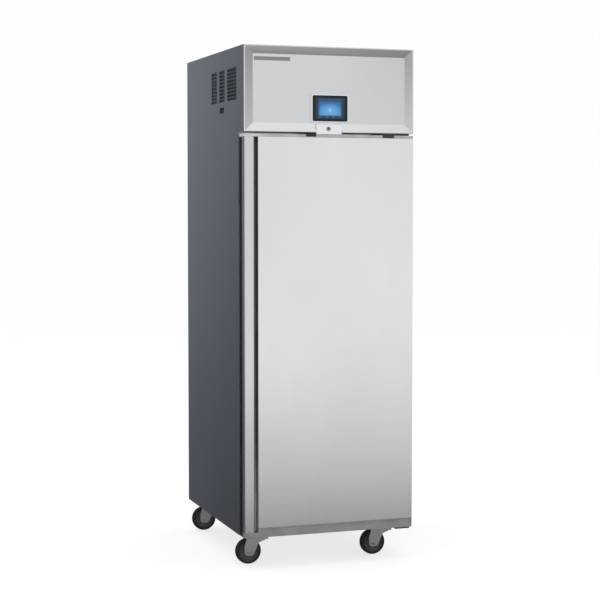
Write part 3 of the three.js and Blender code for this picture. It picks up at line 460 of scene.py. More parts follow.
def brushed_metal(name, colour, grain, roughness, contrast=0.06, fades=(), detail=None):
    """Sheet metal with a directional grain. grain is the noise scale along x, y and z."""
    s = Surface(name, roughness, 1.0)
    lines = s.noise(s.scaled(*grain), 1.0, detail=5.0, roughness=0.62)
    handling = s.noise(s.scaled(2.2, 2.2, 1.4), 1.0, detail=4.0, roughness=0.6, distortion=0.6)
    tint = s.varied(lines, colour, 1 - contrast, 1 + contrast)
    wear_and_painted_light = s.blend(s.span(handling, 0.0, 0.5), tint, shade(colour, 0.93))
    # The fades and the detail hook paint light and shade into the tone, on top of the wear.
    wear_and_painted_light = s.faded(wear_and_painted_light, fades)
    if detail:
        wear_and_painted_light = detail(s, wear_and_painted_light)
    along_grain = s.span(lines, roughness - 0.04, roughness + 0.05)
    s.drive(Base_Color=wear_and_painted_light, Roughness=s.math("ADD", along_grain, s.span(handling, -0.03, 0.03)))
    s.bump(lines, 0.1, 0.00008)
    return s.material


def moulded_plastic(name, colour, roughness, strength=0.18, gloss=0.5, fades=()):
    s = Surface(name, roughness)
    pits = s.noise(s.where, 1400.0, detail=2.0)
    cloud = s.noise(s.where, 18.0, detail=3.0)
    tone = s.varied(cloud, colour, 0.86, 1.16)
    # The fades multiply the tone along an axis; in the groove's and the rear edge's finishes they are
    # painted light and shade.
    s.drive(
        Base_Color=s.faded(tone, fades),
        Roughness=s.span(cloud, roughness - 0.05, roughness + 0.07),
        Specular_IOR_Level=gloss,
    )
    s.bump(pits, strength, 0.00012)
    return s.material


def galvanised_sheet(name, colour):
    s = Surface(name, 0.42, 0.55)
    spangle = s.add("ShaderNodeTexVoronoi", Vector=s.where, Scale=55.0)
    facet = s.add("ShaderNodeSeparateColor", Color=spangle.outputs["Color"]).outputs["Red"]
    drift = s.noise(s.where, 5.0, detail=4.0)
    tone = s.blend(facet, shade(colour, 0.86), shade(colour, 1.1))
    s.drive(
        Base_Color=s.blend(s.span(drift, 0.0, 0.4), tone, shade(colour, 0.8)),
        Roughness=s.span(facet, 0.32, 0.52, 0.0, 1.0),
    )
    s.bump(s.noise(s.where, 700.0), 0.06, 0.0001)
    return s.material


def painted(name, colour, roughness, peel=420.0, strength=0.1, coat=0.0, gloss=0.5):
    s = Surface(name, roughness)
    texture = s.noise(s.where, peel, detail=1.5)
    cloud = s.noise(s.where, 9.0, detail=4.0)
    s.drive(
        Base_Color=s.varied(cloud, colour, 0.965, 1.03),
        Roughness=s.span(cloud, roughness - 0.04, roughness + 0.06),
        Specular_IOR_Level=gloss,
    )
    s.bump(texture, strength, 0.0002)
    if coat:
        s.drive(Coat_Weight=coat, Coat_Roughness=0.15)
    return s.material


def rubber(name, colour, dust):
    s = Surface(name, 0.68)
    patches = s.noise(s.where, 45.0, detail=6.0, roughness=0.7)
    grain = s.noise(s.where, 1600.0, detail=2.0)
    s.drive(
        Base_Color=s.blend(s.span(patches, 0.0, 0.8, 0.45, 0.8), colour, dust),
        Roughness=s.span(patches, 0.58, 0.82),
        Specular_IOR_Level=0.25,
    )
    s.bump(grain, 0.3, 0.00015)
    return s.material


def bare_copper(name):
    s = Surface(name, 0.3, 1.0)
    oxide = s.noise(s.where, 26.0, detail=6.0, roughness=0.65, distortion=0.8)
    s.drive(
        Base_Color=s.blend(s.span(oxide, 0.0, 1.0), (0.86, 0.44, 0.26), (0.42, 0.19, 0.1)),
        Roughness=s.span(oxide, 0.22, 0.5),
    )
    s.bump(s.noise(s.where, 300.0), 0.05, 0.0001)
    return s.material


# ---- the finishes

def dished_border_painted_shading(s, tone):
    """The header's sloping border, with painted light and shade by the way each slope faces: darker above
    the inset face, lighter below it and low on its sides.
    """
    slope = s.axes(s.add("ShaderNodeTexCoord").outputs["Normal"])
    sideways = s.span(s.math("ABSOLUTE", slope["X"], 0.0), 0.0, 1.0, 0.15, 0.3)
    tone = s.blend(sideways, tone, s.faded(s.toned(tone, 1.14), [("Z", 1.73, 1.98, 0.7)]))
    tone = s.toned(tone, 0.8, s.span(slope["Z"], 0.0, 1.0, -0.15, -0.35))
    return s.toned(tone, 1.15, s.span(slope["Z"], 0.0, 1.0, 0.15, 0.35))


LOUVRE_COLUMNS = ((-0.3215, -0.1975), (-0.1585, -0.0835), (-0.0475, 0.0315))
LOUVRE_ROWS = (1.818, 1.942)
LOUVRE_EDGE = 0.003  # over which the shade fades out
LOUVRE_SHADE = 0.54


def within(s, value, span):
    """1 where the value is inside the span, fading to 0 just outside it."""
    start, end = span
    return s.math("MULTIPLY", s.span(value, 0.0, 1.0, start - LOUVRE_EDGE, start),
                  s.span(value, 1.0, 0.0, end, end + LOUVRE_EDGE))


def louvre_shade(s, tone):
    """Darkens the steel over the pressed louvres, which shade one another."""
    place = s.axes()
    columns = within(s, place["Y"], LOUVRE_COLUMNS[0])
    for span in LOUVRE_COLUMNS[1:]:
        columns = s.math("ADD", columns, within(s, place["Y"], span))
    rows = within(s, place["Z"], LOUVRE_ROWS)
    return s.toned(tone, LOUVRE_SHADE, s.math("MULTIPLY", rows, columns))


# noise scales along x, y and z: fine across the grain, long along it
ALONG_Z = (1100.0, 1100.0, 5.0)
ALONG_X = (5.0, 1100.0, 1100.0)

REAR_EDGE_PAINTED_SHADE = ("Y", -0.3975, -0.3965, 0.04)  # painted shade: a black strip round the rear of the door's edge, for the shade in the gap beside the door
# painted light: the door's tone grows a little lighter towards its right side
STAINLESS_DOOR = brushed_metal("door_stainless", (0.717, 0.7215, 0.731), ALONG_Z, 0.3, contrast=0.03,
                               fades=[("X", -0.29, 0.35, 1.05)])
# painted shade: the header's tone darker towards its right side; its sloping border gets painted light and
# shade
STAINLESS_HEADER = brushed_metal("header_stainless", (0.65, 0.66, 0.675), ALONG_X, 0.26, contrast=0.03,
                                 fades=[("X", 0.0, 0.3, 0.94)], detail=dished_border_painted_shading)
STAINLESS_TRIM = brushed_metal("trim_stainless", (0.8, 0.81, 0.82), ALONG_X, 0.22, contrast=0.03)
STAINLESS_UPRIGHT = brushed_metal("upright_stainless", (0.66, 0.67, 0.68), ALONG_Z, 0.34)
# painted shade: the side sheet darker towards its front, and over the louvres
SIDE_STEEL = brushed_metal("side_steel", (0.498, 0.562, 0.668), ALONG_Z, 0.34, contrast=0.05,
                           fades=[("Y", 0.35, -0.35, 0.735)], detail=louvre_shade)
# painted light: the handle lighter towards its bottom; painted shade on its rear edge
HANDLE_ALUMINIUM = brushed_metal("handle_aluminium", (0.595, 0.615, 0.63), ALONG_Z, 0.25, contrast=0.03,
                                 fades=[("Z", 0.5, 0.28, 1.14), REAR_EDGE_PAINTED_SHADE])
ZINC = brushed_metal("zinc_plate", (0.58, 0.59, 0.595), (160.0, 160.0, 160.0), 0.36, contrast=0.1)
DARK_ZINC = brushed_metal("dark_zinc", (0.16, 0.16, 0.165), (300.0, 300.0, 300.0), 0.3)
FIN_ALUMINIUM = brushed_metal("fin_aluminium", (0.7, 0.72, 0.74), ALONG_Z, 0.38, contrast=0.1)
FAN_ALUMINIUM = brushed_metal("fan_aluminium", (0.6, 0.61, 0.62), (220.0, 220.0, 220.0), 0.36)
GALVANISED = galvanised_sheet("galvanised", (0.6, 0.62, 0.635))
COPPER = bare_copper("copper")
BLACK_PLASTIC = moulded_plastic("black_plastic", (0.014, 0.014, 0.016), 0.42, gloss=0.3)
GREY_PLASTIC = moulded_plastic("grey_plastic", (0.05, 0.055, 0.06), 0.45, gloss=0.3)
WHEEL_PLASTIC = moulded_plastic("wheel_core_plastic", (0.05, 0.054, 0.054), 0.5, gloss=0.4)
# The door's edge piece is plastic, made near-black and matte as painted shade for the gap between door and
# cabinet.
EDGE_PLASTIC = moulded_plastic("edge_plastic", (0.008, 0.009, 0.011), 0.7, gloss=0.05)
# painted shade: a dark lining for the finger groove's shade, with painted light lower down and deeper in
# the groove
GROOVE_PAINTED_SHADE = moulded_plastic("groove_painted_shade", (0.062, 0.065, 0.07), 0.45, gloss=0.2,
                                 fades=[("Z", 0.52, 0.28, 2.6), ("Y", -0.4045, -0.3925, 3.2)])
# the door's top cap is lighter towards its left end
SILVER_PLASTIC = moulded_plastic("silver_plastic", (0.32, 0.325, 0.33), 0.34, strength=0.1, gloss=0.4,
                                 fades=[("X", -0.24, -0.29, 1.45)])
SHADE_PLASTIC = moulded_plastic("shade_plastic", (0.175, 0.177, 0.18), 0.36, strength=0.1, gloss=0.4,
                                fades=[REAR_EDGE_PAINTED_SHADE])
LINER_WHITE = painted("liner_white", (0.8, 0.81, 0.81), 0.3, coat=0.25)
LIGHT_LENS = painted("light_lens", (0.88, 0.89, 0.86), 0.22, coat=0.4)
COATED_WIRE = painted("coated_wire", (0.7, 0.71, 0.72), 0.28, peel=900.0, coat=0.3)
BLACK_PAINT = painted("black_paint", (0.012, 0.012, 0.014), 0.36, coat=0.25)
GLOSS_BLACK = painted("gloss_black", (0.006, 0.008, 0.01), 0.12, peel=80.0, strength=0.01, gloss=0.25)
FOAM = painted("foam", (0.62, 0.52, 0.28), 0.9, peel=260.0, strength=0.6)
GASKET_VINYL = rubber("gasket_vinyl", (0.012, 0.013, 0.016), dust=(0.035, 0.036, 0.038))
TREAD_RUBBER = rubber("tread_rubber", (0.01, 0.01, 0.01), dust=(0.028, 0.028, 0.027))
FILTER_FOAM = rubber("filter_foam", (0.01, 0.01, 0.011), dust=(0.02, 0.02, 0.02))


def display_layer(s, tone, strength):
    """A glowing layer under the display's smooth cover."""
    s.drive(
        Base_Color=(0.01, 0.012, 0.016),
        Emission_Color=tone,
        Emission_Strength=strength,
        Specular_IOR_Level=0.2,
        Coat_Weight=0.15,
        Coat_Roughness=0.04,
    )
    return s.material


def lit_surface(name, colour, strength):
    s = Surface(name, 0.12)
    glow = s.noise(s.where, 60.0, detail=1.0)
    tone = s.varied(glow, colour, 0.88, 1.12)
    return display_layer(s, tone, strength)


def screen_backdrop():
    """The display's picture: a blue window, lightest low in its middle, on a near-black page."""
    low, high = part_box("display_screen")
    s = Surface("screen_backdrop", 0.12)
    place = s.axes()
    across = s.span(place["X"], -1.0, 1.0, low.x, high.x)
    up = s.span(place["Z"], 0.0, 1.0, low.z, high.z)
    aside = s.math("ABSOLUTE", across, 0.0)
    above = s.math("POWER", s.math("SUBTRACT", up, 0.34), 2.0)
    sideways = s.math("MULTIPLY", s.math("POWER", aside, 2.0), 0.9)
    spread = s.math("ADD", sideways, s.math("MULTIPLY", above, 3.4))
    sky = s.blend(s.span(up, 0.0, 1.0, 0.15, 0.85), (0.07, 0.27, 0.52), (0.025, 0.11, 0.31))
    lit = s.blend(s.span(spread, 1.0, 0.0, 0.0, 0.6), sky, (0.115, 0.36, 0.69))
    sides = s.span(aside, 1.0, 0.0, 0.66, 0.84)
    ends = s.math("MULTIPLY", s.span(up, 0.0, 1.0, 0.12, 0.19), s.span(up, 1.0, 0.0, 0.79, 0.88))
    window = s.math("MULTIPLY", sides, ends)
    return display_layer(s, s.blend(window, (0.004, 0.022, 0.036), lit), 1.0)


# ---- cabinet shell

def cabinet_shell():
    for side in ("left", "right"):
        refined(f"{side}_side_panel", SIDE_STEEL, bevel=0.0004)
    refined("face_frame", STAINLESS_UPRIGHT, bevel=0.0003)
    refined("breaker_frame", GREY_PLASTIC, bevel=0.0012)
    refined("inner_liner", LINER_WHITE, bevel=0.0005)
    for node in ("back_panel", "rear_grille", "base_pan"):
        refined(node, GALVANISED, bevel=0.0004)
    foamed("cabinet_foam")
    back_screws()
    louvre_filters()
    power_inlet()


def louvre_filters():
    """Open-cell foam pads behind the side louvres."""
    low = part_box("left_side_panel")[0]
    left = block(low.x + 0.01, low.x + 0.013, low.y + 0.085, low.y + 0.51, 1.806, 1.955)
    piece("louvre_filters_left", left, FILTER_FOAM, bevel=0.0008)
    piece("louvre_filters_right", left.mirrored_x(), FILTER_FOAM, bevel=0.0008)


def back_screws():
    low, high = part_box("back_panel")
    grille_low, grille_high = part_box("rear_grille")
    face = high.y - 0.0014
    heights = spaced(low.z + 0.05, high.z - 0.05, 7) + [grille_low.z + 0.02, grille_high.z - 0.02]
    places = [(x, face, z) for x in (low.x + 0.012, high.x - 0.012) for z in heights]
    places += [(x, face, z) for x in spaced(low.x + 0.1, high.x - 0.1, 5)
               for z in (high.z - 0.012, low.z + 0.012)]
    piece("back_screws", screws(places, "+y", radius=0.0045), ZINC)


def power_inlet():
    refined("power_inlet", BLACK_PLASTIC, bevel=0.0008)
    low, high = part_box("power_inlet")
    y, z = (low.y + high.y) / 2, (low.z + high.z) / 2
    prong = block(low.x + 0.003, low.x + 0.016, y - 0.001, y + 0.001, z - 0.003, z + 0.003)
    prongs = [prong.moved(0.0, dy, dz) for dy, dz in ((-0.012, -0.001), (0.0, 0.002), (0.012, -0.001))]
    piece("inlet_prongs", prongs, ZINC, bevel=0.0003)


# ---- header

def header():
    refined("header_front_panel", STAINLESS_HEADER, bevel=0.0011, segments=3, angle=8)
    refined("header_deck", GALVANISED, bevel=0.0004)
    refined("lock_plate", STAINLESS_TRIM, bevel=0.0007, segments=3)
    refined("nameplate", SHADE_PLASTIC, bevel=0.0007, segments=3)
    refined("door_sensor", BLACK_PLASTIC, bevel=0.0012, segments=3)
    display()
    lock()


def display():
    low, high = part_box("display_bezel")
    bezel = outline_of("display_bezel")
    outline = rounded_rectangle(*bezel, 0.005)
    hole = rounded_rectangle(*outline_of("display_screen"), 0.0015)
    rim = ring_plate(outline, hole, low.y, low.y + 0.0016)
    back_plate = extruded(outline, low.y + 0.0018, high.y, "y")
    piece("display_bezel_finish", rim + back_plate, GLOSS_BLACK,
          replaces=("display_bezel",), bevel=0.0003, angle=30)
    edge = rounded_rectangle(*inset(bezel, -0.0042), 0.006)
    inside = rounded_rectangle(*inset(bezel, -0.0004), 0.005)
    trim = ring_plate(edge, inside, low.y + 0.0004, low.y + 0.0014)
    piece("display_trim_ring", trim, STAINLESS_TRIM, bevel=0.0004, angle=30)
    face = low.y + 0.0005
    glass = extruded(hole, face, low.y + 0.0015, "y")
    piece("display_screen_finish", glass, screen_backdrop(),
          replaces=("display_screen",), angle=30)
    screen_graphics(*outline_of("display_screen"), face)


def screen_graphics(x0, x1, z0, z1, face):
    """Generic shapes, with no lettering: a status bar, four keys, and a dial ring with its pointer."""
    width, height = x1 - x0, z1 - z0

    def tile(u0, u1, v0, v1, radius=0.0008):
        outline = rounded_rectangle(
            x0 + u0 * width, x0 + u1 * width, z0 + v0 * height, z0 + v1 * height, radius,
        )
        return extruded(outline, face - 0.00012, face + 0.0001, "y")

    bright = lit_surface("screen_bright", (0.36, 0.66, 0.9), 0.9)
    deep = lit_surface("screen_deep", (0.02, 0.075, 0.17), 0.9)
    piece("screen_bar", tile(0.1, 0.9, 0.87, 0.95), deep)
    keys = [tile(0.1 + 0.22 * i, 0.24 + 0.22 * i, 0.035, 0.125) for i in range(4)]
    piece("screen_keys", keys, deep)
    dial = revolved(mm([(9.8, 0), (10.5, 0), (10.5, 0.15), (9.8, 0.15)]), 40, closed=True)
    dial = facing(dial, "-y").moved(x0 + 0.5 * width, face, z0 + 0.42 * height)
    piece("screen_marks", [dial, tile(0.475, 0.525, 0.36, 0.48, 0.0005)], bright)


LOCK_X, LOCK_Z = -0.006, 1.704  # the key lock's axis, which runs along Y
CAM_REACH = 0.0235  # from the lock's axis to the middle of the cam's round tip


def lock():
    low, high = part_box("lock")

    def in_place(shape):
        return facing(shape, "-y").moved(LOCK_X, low.y + 0.0017, LOCK_Z)

    collar = revolved(mm([
        (6.2, -1), (6.2, 1), (7, 1.6), (8.5, 1.4), (9.4, 0.6),
        (9.5, 0), (8, 0), (8, -28), (6.2, -28),
    ]), closed=True)
    piece("lock_collar", in_place(collar), ZINC, "lock_barrel", angle=40)
    core = revolved(mm([(0, -26), (5.9, -26), (5.9, 0.1), (0, 0.1)]))
    plug = in_place(screw_head(0.006, 0.0009)) + in_place(core)
    piece("lock_plug", plug, DARK_ZINC, "lock_barrel", angle=40)
    outline = arc(LOCK_X, LOCK_Z, 0.0055, 1, 3, 12) + arc(LOCK_X + CAM_REACH, LOCK_Z, 0.0045, -1, 1, 12)
    cam = extruded(outline, high.y - 0.0032, high.y, "y")
    piece("lock_cam", cam, ZINC, "lock_barrel", replaces=("lock",), bevel=0.0004)


# ---- door

HINGE_COVER_X = (0.218, 0.267)  # of the thin black plate on the top cap, in front of the hinge


def door():
    refined("door_skin", STAINLESS_DOOR, bevel=0.0007, segments=3)
    refined("door_handle", HANDLE_ALUMINIUM, bevel=0.0004, angle=40)
    refined("door_top_cap", SILVER_PLASTIC, bevel=0.0006, segments=3)
    refined("door_bottom_cap", SHADE_PLASTIC, bevel=0.0006, segments=3)
    refined("door_liner", EDGE_PLASTIC, bevel=0.0008)
    refined("sensor_magnet", BLACK_PLASTIC, bevel=0.001, segments=3)
    foamed("door_foam")
    gasket()
    inner_door_panel()
    finger_groove_painted_shade()
    low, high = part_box("door_top_cap")
    cover = block(*HINGE_COVER_X, low.y - 0.0003, low.y + 0.0003, low.z + 0.0004, high.z - 0.0002)
    piece("hinge_cover_plate", cover, BLACK_PAINT, "door")


def finger_groove_painted_shade():
    """Dark strip that lines the finger groove: its back wall, and the door skin's folded edge. It is
    painted shade, standing for the groove's shade.
    """
    low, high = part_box("door_handle")
    left = low.x + 0.006
    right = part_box("door_skin")[0].x - 0.0001
    back = low.y + 0.0359
    outline = [
        (left, back), (left, back - 0.0008), (right - 0.0009, back - 0.0008),
        (right - 0.0009, low.y + 0.013), (right, low.y + 0.012), (right, back),
    ]
    trim = extruded(outline, low.z + 0.0002, high.z - 0.0002)
    piece("finger_groove_painted_shade", trim, GROOVE_PAINTED_SHADE, "door")


def gasket():
    """The magnetic gasket's profile, with folds in both flanks."""
    low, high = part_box("door_gasket")
    y0, y1 = low.y, high.y
    outer = [
        (0.005, y0), (0.0042, y0 + 0.002), (0.0004, y0 + 0.0032), (0.0, y0 + 0.0048),
        (0.0026, y0 + 0.0062), (0.0002, y0 + 0.0076), (0.0008, y1 - 0.0008), (0.002, y1),
    ]
    inner = [
        (0.02, y1), (0.0212, y1 - 0.0008), (0.0216, y0 + 0.0076), (0.0196, y0 + 0.0062),
        (0.022, y0 + 0.0048), (0.0214, y0 + 0.0032), (0.018, y0 + 0.002), (0.0172, y0),
    ]
    piece("gasket_profile", framed(outer + inner, outline_of("door_gasket")), GASKET_VINYL,
          "door", replaces=("door_gasket",), angle=60)


def inner_door_panel():
    """The raised panel inside the gasket, with a rolled edge and a shallow sunken middle."""
    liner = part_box("door_liner")[1].y
    edge = inset(outline_of("door_gasket"), 0.034)
    layers = [(0.0, 0.0), (0.0, 0.004), (0.003, 0.0075), (0.008, 0.009), (0.04, 0.009), (0.046, 0.006)]
    rings = [
        [(x, liner + rise, z) for x, z in rounded_rectangle(*inset(edge, by), 0.022, steps=8)]
        for by, rise in layers
    ]
    piece("door_inner_panel", lofted(rings), LINER_WHITE, "door", angle=50)


def hinges():
    for node in ("top_hinge", "bottom_hinge"):
        refined(node, BLACK_PAINT, bevel=0.0007, segments=3)
    low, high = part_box("top_hinge")
    places = [(x, y, high.z - 0.0067) for x in (0.232, 0.262) for y in (low.y + 0.016, low.y + 0.04)]
    piece("top_hinge_screws", screws(places, "-z", height=0.001), ZINC)
    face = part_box("bottom_hinge")[1].y - 0.0027
    places = [(x, face, 0.1375) for x in (0.298, 0.328)]
    piece("bottom_hinge_screws", screws(places, "-y", height=0.001), ZINC)


# ---- inside the cabinet

SHELVES = ("lower", "middle", "upper")


def wire_shelf(level):
    """Coated wires on an edge frame of thicker wire, with cross wires below them."""
    low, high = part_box(f"shelf_{level}")
    edge, cross, thin = 0.003, 0.0022, 0.0018
    outline = rounded_rectangle(*inset(outline_of(f"shelf_{level}", "x", "y"), edge), 0.012, steps=6)
    wires = [tube([(x, y, low.z + edge) for x, y in outline], edge, closed=True)]
    z = high.z - thin
    for x in spaced(low.x, high.x, 29)[1:-1]:
        wires.append(rod((x, low.y + 0.002, z), (x, high.y - 0.002, z), thin))
    z = high.z - 2 * thin - cross
    for share in (0.04, 0.35, 0.65, 0.96):
        y = low.y + share * (high.y - low.y)
        wires.append(rod((low.x + 0.002, y, z), (high.x - 0.002, y, z), cross))
    piece(f"shelf_{level}_wires", wires, COATED_WIRE, f"{level}_shelf",
          replaces=(f"shelf_{level}",), angle=50)


SLOT_PITCH = 0.025
SLOT_HEIGHT = 0.012
SLOT_HALF_WIDTH = 0.0035


def pilaster(end, side):
    """Channel with its slots, and a support clip hooked in under each shelf."""
    node = f"pilaster_{end}_{side}"
    low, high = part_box(node)
    outward, wall = (-1, low.x) if side == "left" else (1, high.x)
    face = wall - outward * 0.008
    y0, y1 = low.y, high.y
    middle = (y0 + y1) / 2
    levels = [low.z]
    z = low.z + 0.02
    while z + SLOT_HEIGHT + 0.002 < high.z - 0.01:
        levels += [z, z + SLOT_HEIGHT]
        z += SLOT_PITCH
    levels.append(high.z)
    behind = face + outward * 0.0012
    strip = []
    for i, (bottom, top) in enumerate(zip(levels, levels[1:])):
        if i % 2 == 0:
            strip.append(block(face, behind, y0, y1, bottom, top))
        else:
            strip.append(block(face, behind, y0, middle - SLOT_HALF_WIDTH, bottom, top))
            strip.append(block(face, behind, middle + SLOT_HALF_WIDTH, y1, bottom, top))
    strip.append(block(face, wall, y0, y0 + 0.0012, low.z, high.z))
    strip.append(block(face, wall, y1 - 0.0012, y1, low.z, high.z))
    piece(f"{node}_channel", strip, STAINLESS_UPRIGHT, replaces=(node,))
    arm = mm([(3, -12), (-1.5, -16), (-17, -6), (-19.5, -5.8), (-19.5, 0),
           (-1.5, 0), (3, 0)])
    clip = extruded([(outward * x, z) for x, z in arm], middle - 0.007, middle + 0.007, "y")
    clips = [clip.moved(face, 0.0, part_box(f"shelf_{level}")[0].z - 0.0003) for level in SHELVES]
    piece(f"{node}_clips", clips, ZINC, bevel=0.0006)


def twisted_blade(inner, outer, chord, pitch, camber, thickness=0.0012):
    """One fan blade along +X, standing on the hub at the radius inner, twisted towards its tip."""
    across, along = 8, 7
    points = []
    for face in (0.5, -0.5):
        for i in range(along + 1):
            share = i / along
            radius = inner + share * (outer - inner)
            angle = pitch * (1.25 - 0.5 * share)
            width = chord * (0.62 + 0.55 * math.sin(math.pi * (0.15 + 0.62 * share)))
            for k in range(across + 1):
                t = k / across - 0.5
                rise = camber * (0.25 - t * t) * 4
                y = t * width * math.cos(angle) - rise * math.sin(angle)
                z = t * width * math.sin(angle) + rise * math.cos(angle)
                sweep = y / radius
                points.append((radius * math.cos(sweep), radius * math.sin(sweep), z + face * thickness))
    row = across + 1
    layer = row * (along + 1)
    faces = []
    for i in range(along):
        for k in range(across):
            a = i * row + k
            faces.append((a, a + 1, a + row + 1, a + row))
            faces.append((a + layer, a + layer + row, a + layer + row + 1, a + layer + 1))
    rim = [k for k in range(row)] + [i * row + across for i in range(1, along + 1)]
    rim += [along * row + k for k in range(across - 1, -1, -1)]
    rim += [i * row for i in range(along - 1, 0, -1)]
    for a, b in zip(rim, rim[1:] + rim[:1]):
        faces.append((a, a + layer, b + layer, b))
    return Shape(points, faces)


def fan_shape(radius, depth, hub):
    """Five blades on a hub with a dished end, turning about Z and standing on z = 0."""
    blade = twisted_blade(hub * 0.9, radius, radius * 0.62, 0.42, radius * 0.035).moved(z=depth / 2)
    parts = [blade.turned(2 * math.pi * i / 5, "Z") for i in range(5)]
    parts.append(revolved([
        (0.0, 0.0), (hub - 0.002, 0.0), (hub, 0.002), (hub, depth - 0.003), (hub - 0.003, depth),
        (hub * 0.4, depth), (hub * 0.36, depth - 0.002), (0.0, depth - 0.002),
    ], 40))
    return together(parts)


def wire_guard(radius, rings, wire):
    """Rings of wire, with three spokes right across them."""
    parts = []
    for i in range(1, rings + 1):
        ring = [(x, y, 0.0) for x, y in circle(radius * i / rings, 48)]
        parts.append(tube(ring, wire, 8, closed=True))
    reach = radius + 0.004
    for x, y in circle(reach, 6)[:3]:
        parts.append(rod((-x, -y, 2 * wire), (x, y, 2 * wire), wire))
    return together(parts)


def fin_pack(low, high, pitch):
    """Upright fins across X that fill the box."""
    starts = spaced(low.x, high.x - 0.0004, int((high.x - low.x) / pitch) + 1)
    return together(block(x, x + 0.0003, low.y, high.y, low.z, high.z) for x in starts)


def evaporator():
    refined("evaporator_cover", LINER_WHITE, bevel=0.0005)
    low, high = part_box("evaporator_cover")
    fan_low, fan_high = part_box("evaporator_fan")
    centre_y = (fan_low.y + fan_high.y) / 2
    guard = wire_guard(0.084, 5, 0.0011).moved(0.0, centre_y, low.z - 0.0034)
    piece("evaporator_fan_guard", guard, COATED_WIRE, angle=60)
    blades = fan_shape(0.0765, 0.018, 0.0225).moved(0.0, centre_y, low.z + 0.008)
    piece("evaporator_fan_blades", blades, BLACK_PLASTIC, "evaporator_blades",
          replaces=("evaporator_fan",), angle=50)
    refined("evaporator_motor", BLACK_PAINT, bevel=0.001)
    coil_low, coil_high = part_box("evaporator_coil")
    piece("evaporator_fins", fin_pack(coil_low, coil_high, 0.006), FIN_ALUMINIUM,
          replaces=("evaporator_coil",))
    passes = [
        rod((coil_low.x - 0.005, y, z), (coil_high.x + 0.005, y, z), 0.0045)
        for z in spaced(coil_low.z + 0.018, coil_high.z - 0.018, 5)
        for y in spaced(coil_low.y + 0.02, coil_high.y - 0.02, 8)
    ]
    piece("evaporator_tubes", passes, COPPER, angle=60)
    x0, x1, y0, y1 = inset(outline_of("evaporator_coil", "x", "y"), -0.008)
    sheet = 0.0012
    bottom = low.z + 0.004
    rim = (bottom + sheet, bottom + 0.014)
    tray = [
        block(x0, x1, y0, y1, bottom, bottom + sheet),
        block(x0, x1, y0, y0 + sheet, *rim),
        block(x0, x1, y1 - sheet, y1, *rim),
        block(x0, x0 + sheet, y0 + sheet, y1 - sheet, *rim),
        block(x1 - sheet, x1, y0 + sheet, y1 - sheet, *rim),
    ]
    piece("evaporator_drain_tray", tray, GALVANISED)
    cover_screws = [(x, y, low.z) for x in (-0.235, 0.235) for y in (low.y + 0.03, high.y - 0.03)]
    piece("evaporator_screws", screws(cover_screws, "-z"), ZINC)


def interior():
    for level in SHELVES:
        wire_shelf(level)
    for end in ("front", "rear"):
        for side in ("left", "right"):
            pilaster(end, side)
    evaporator()
    refined("interior_light", LIGHT_LENS, bevel=0.003, segments=4)
    temperature_probe()


def temperature_probe():
    """A sensor bulb on its lead, which runs down the left wall of the liner."""
    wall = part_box("inner_liner")[0].x
    y = 0.15
    bulb_x, bulb_top = wall + 0.0062, 1.3
    lead = smooth_route([
        (wall + 0.0045, y, 1.425), (wall + 0.0045, y, 1.36), (wall + 0.006, y, 1.32),
        (bulb_x, y, bulb_top),
    ], 6)
    bulb = rod((bulb_x, y, bulb_top), (bulb_x, y, bulb_top - 0.04), 0.0032, 16)
    piece("temperature_probe", tube(lead, 0.0018, 10) + bulb, BLACK_PLASTIC, angle=50)


# ---- condensing unit

def condensing_unit():
    compressor()
    condenser()
    refined("electrical_box", GALVANISED, bevel=0.001)
    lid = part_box("electrical_box")[1].z
    x0, x1, y0, y1 = inset(outline_of("electrical_box", "x", "y"), 0.012)
    places = [(x, y, lid) for x in (x0, x1) for y in (y0, y1)]
    piece("electrical_box_screws", screws(places, "+z"), ZINC)
    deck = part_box("header_deck")[1].z
    refrigerant_lines(deck)
    wiring(deck)
    condensate_pan(deck)


COMPRESSOR_XY = (-0.19, 0.13)


def compressor():
    """A welded shell on a rubber-footed base. The shapes are drawn about its own axis, on the deck."""
    axis = (*COMPRESSOR_XY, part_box("compressor")[0].z)
    shell = revolved(mm([
        (0, 14), (60, 14), (70, 19), (75.5, 30), (76, 76), (77.5, 78),
        (79, 81), (79, 84), (77.5, 87), (76, 89), (75.8, 118),
        (73.5, 134), (69, 149), (61, 163), (49, 174), (34, 181),
        (17, 184), (0, 185),
    ]), 64)
    piece("compressor_shell", shell.moved(*axis), BLACK_PAINT,
          replaces=("compressor",), angle=50)
    base = extruded(rounded_rectangle(-0.095, 0.095, -0.062, 0.062, 0.012), 0.012, 0.0155)
    piece("compressor_base", base.moved(*axis), BLACK_PAINT, bevel=0.0008)
    foot = revolved(mm([
        (0, 0), (10.5, 0), (11, 3), (8.5, 6), (8.5, 9),
        (11, 11.5), (10.5, 12), (0, 12),
    ]), 24).moved(*axis)
    bolt = hexagon(0.0065, 0.005).moved(z=0.0155).moved(*axis)
    corners = [(x, y) for x in (-0.082, 0.082) for y in (-0.05, 0.05)]
    piece("compressor_feet", [foot.moved(*corner) for corner in corners], TREAD_RUBBER,
          angle=50)
    piece("compressor_bolts", [bolt.moved(*corner) for corner in corners], ZINC, bevel=0.0005)
    cover = extruded(rounded_rectangle(-0.03, 0.03, 0.06, 0.128, 0.008), 0.066, 0.102, "x")
    piece("compressor_terminal_cover", cover.moved(*axis), BLACK_PLASTIC,
          bevel=0.003, segments=4)


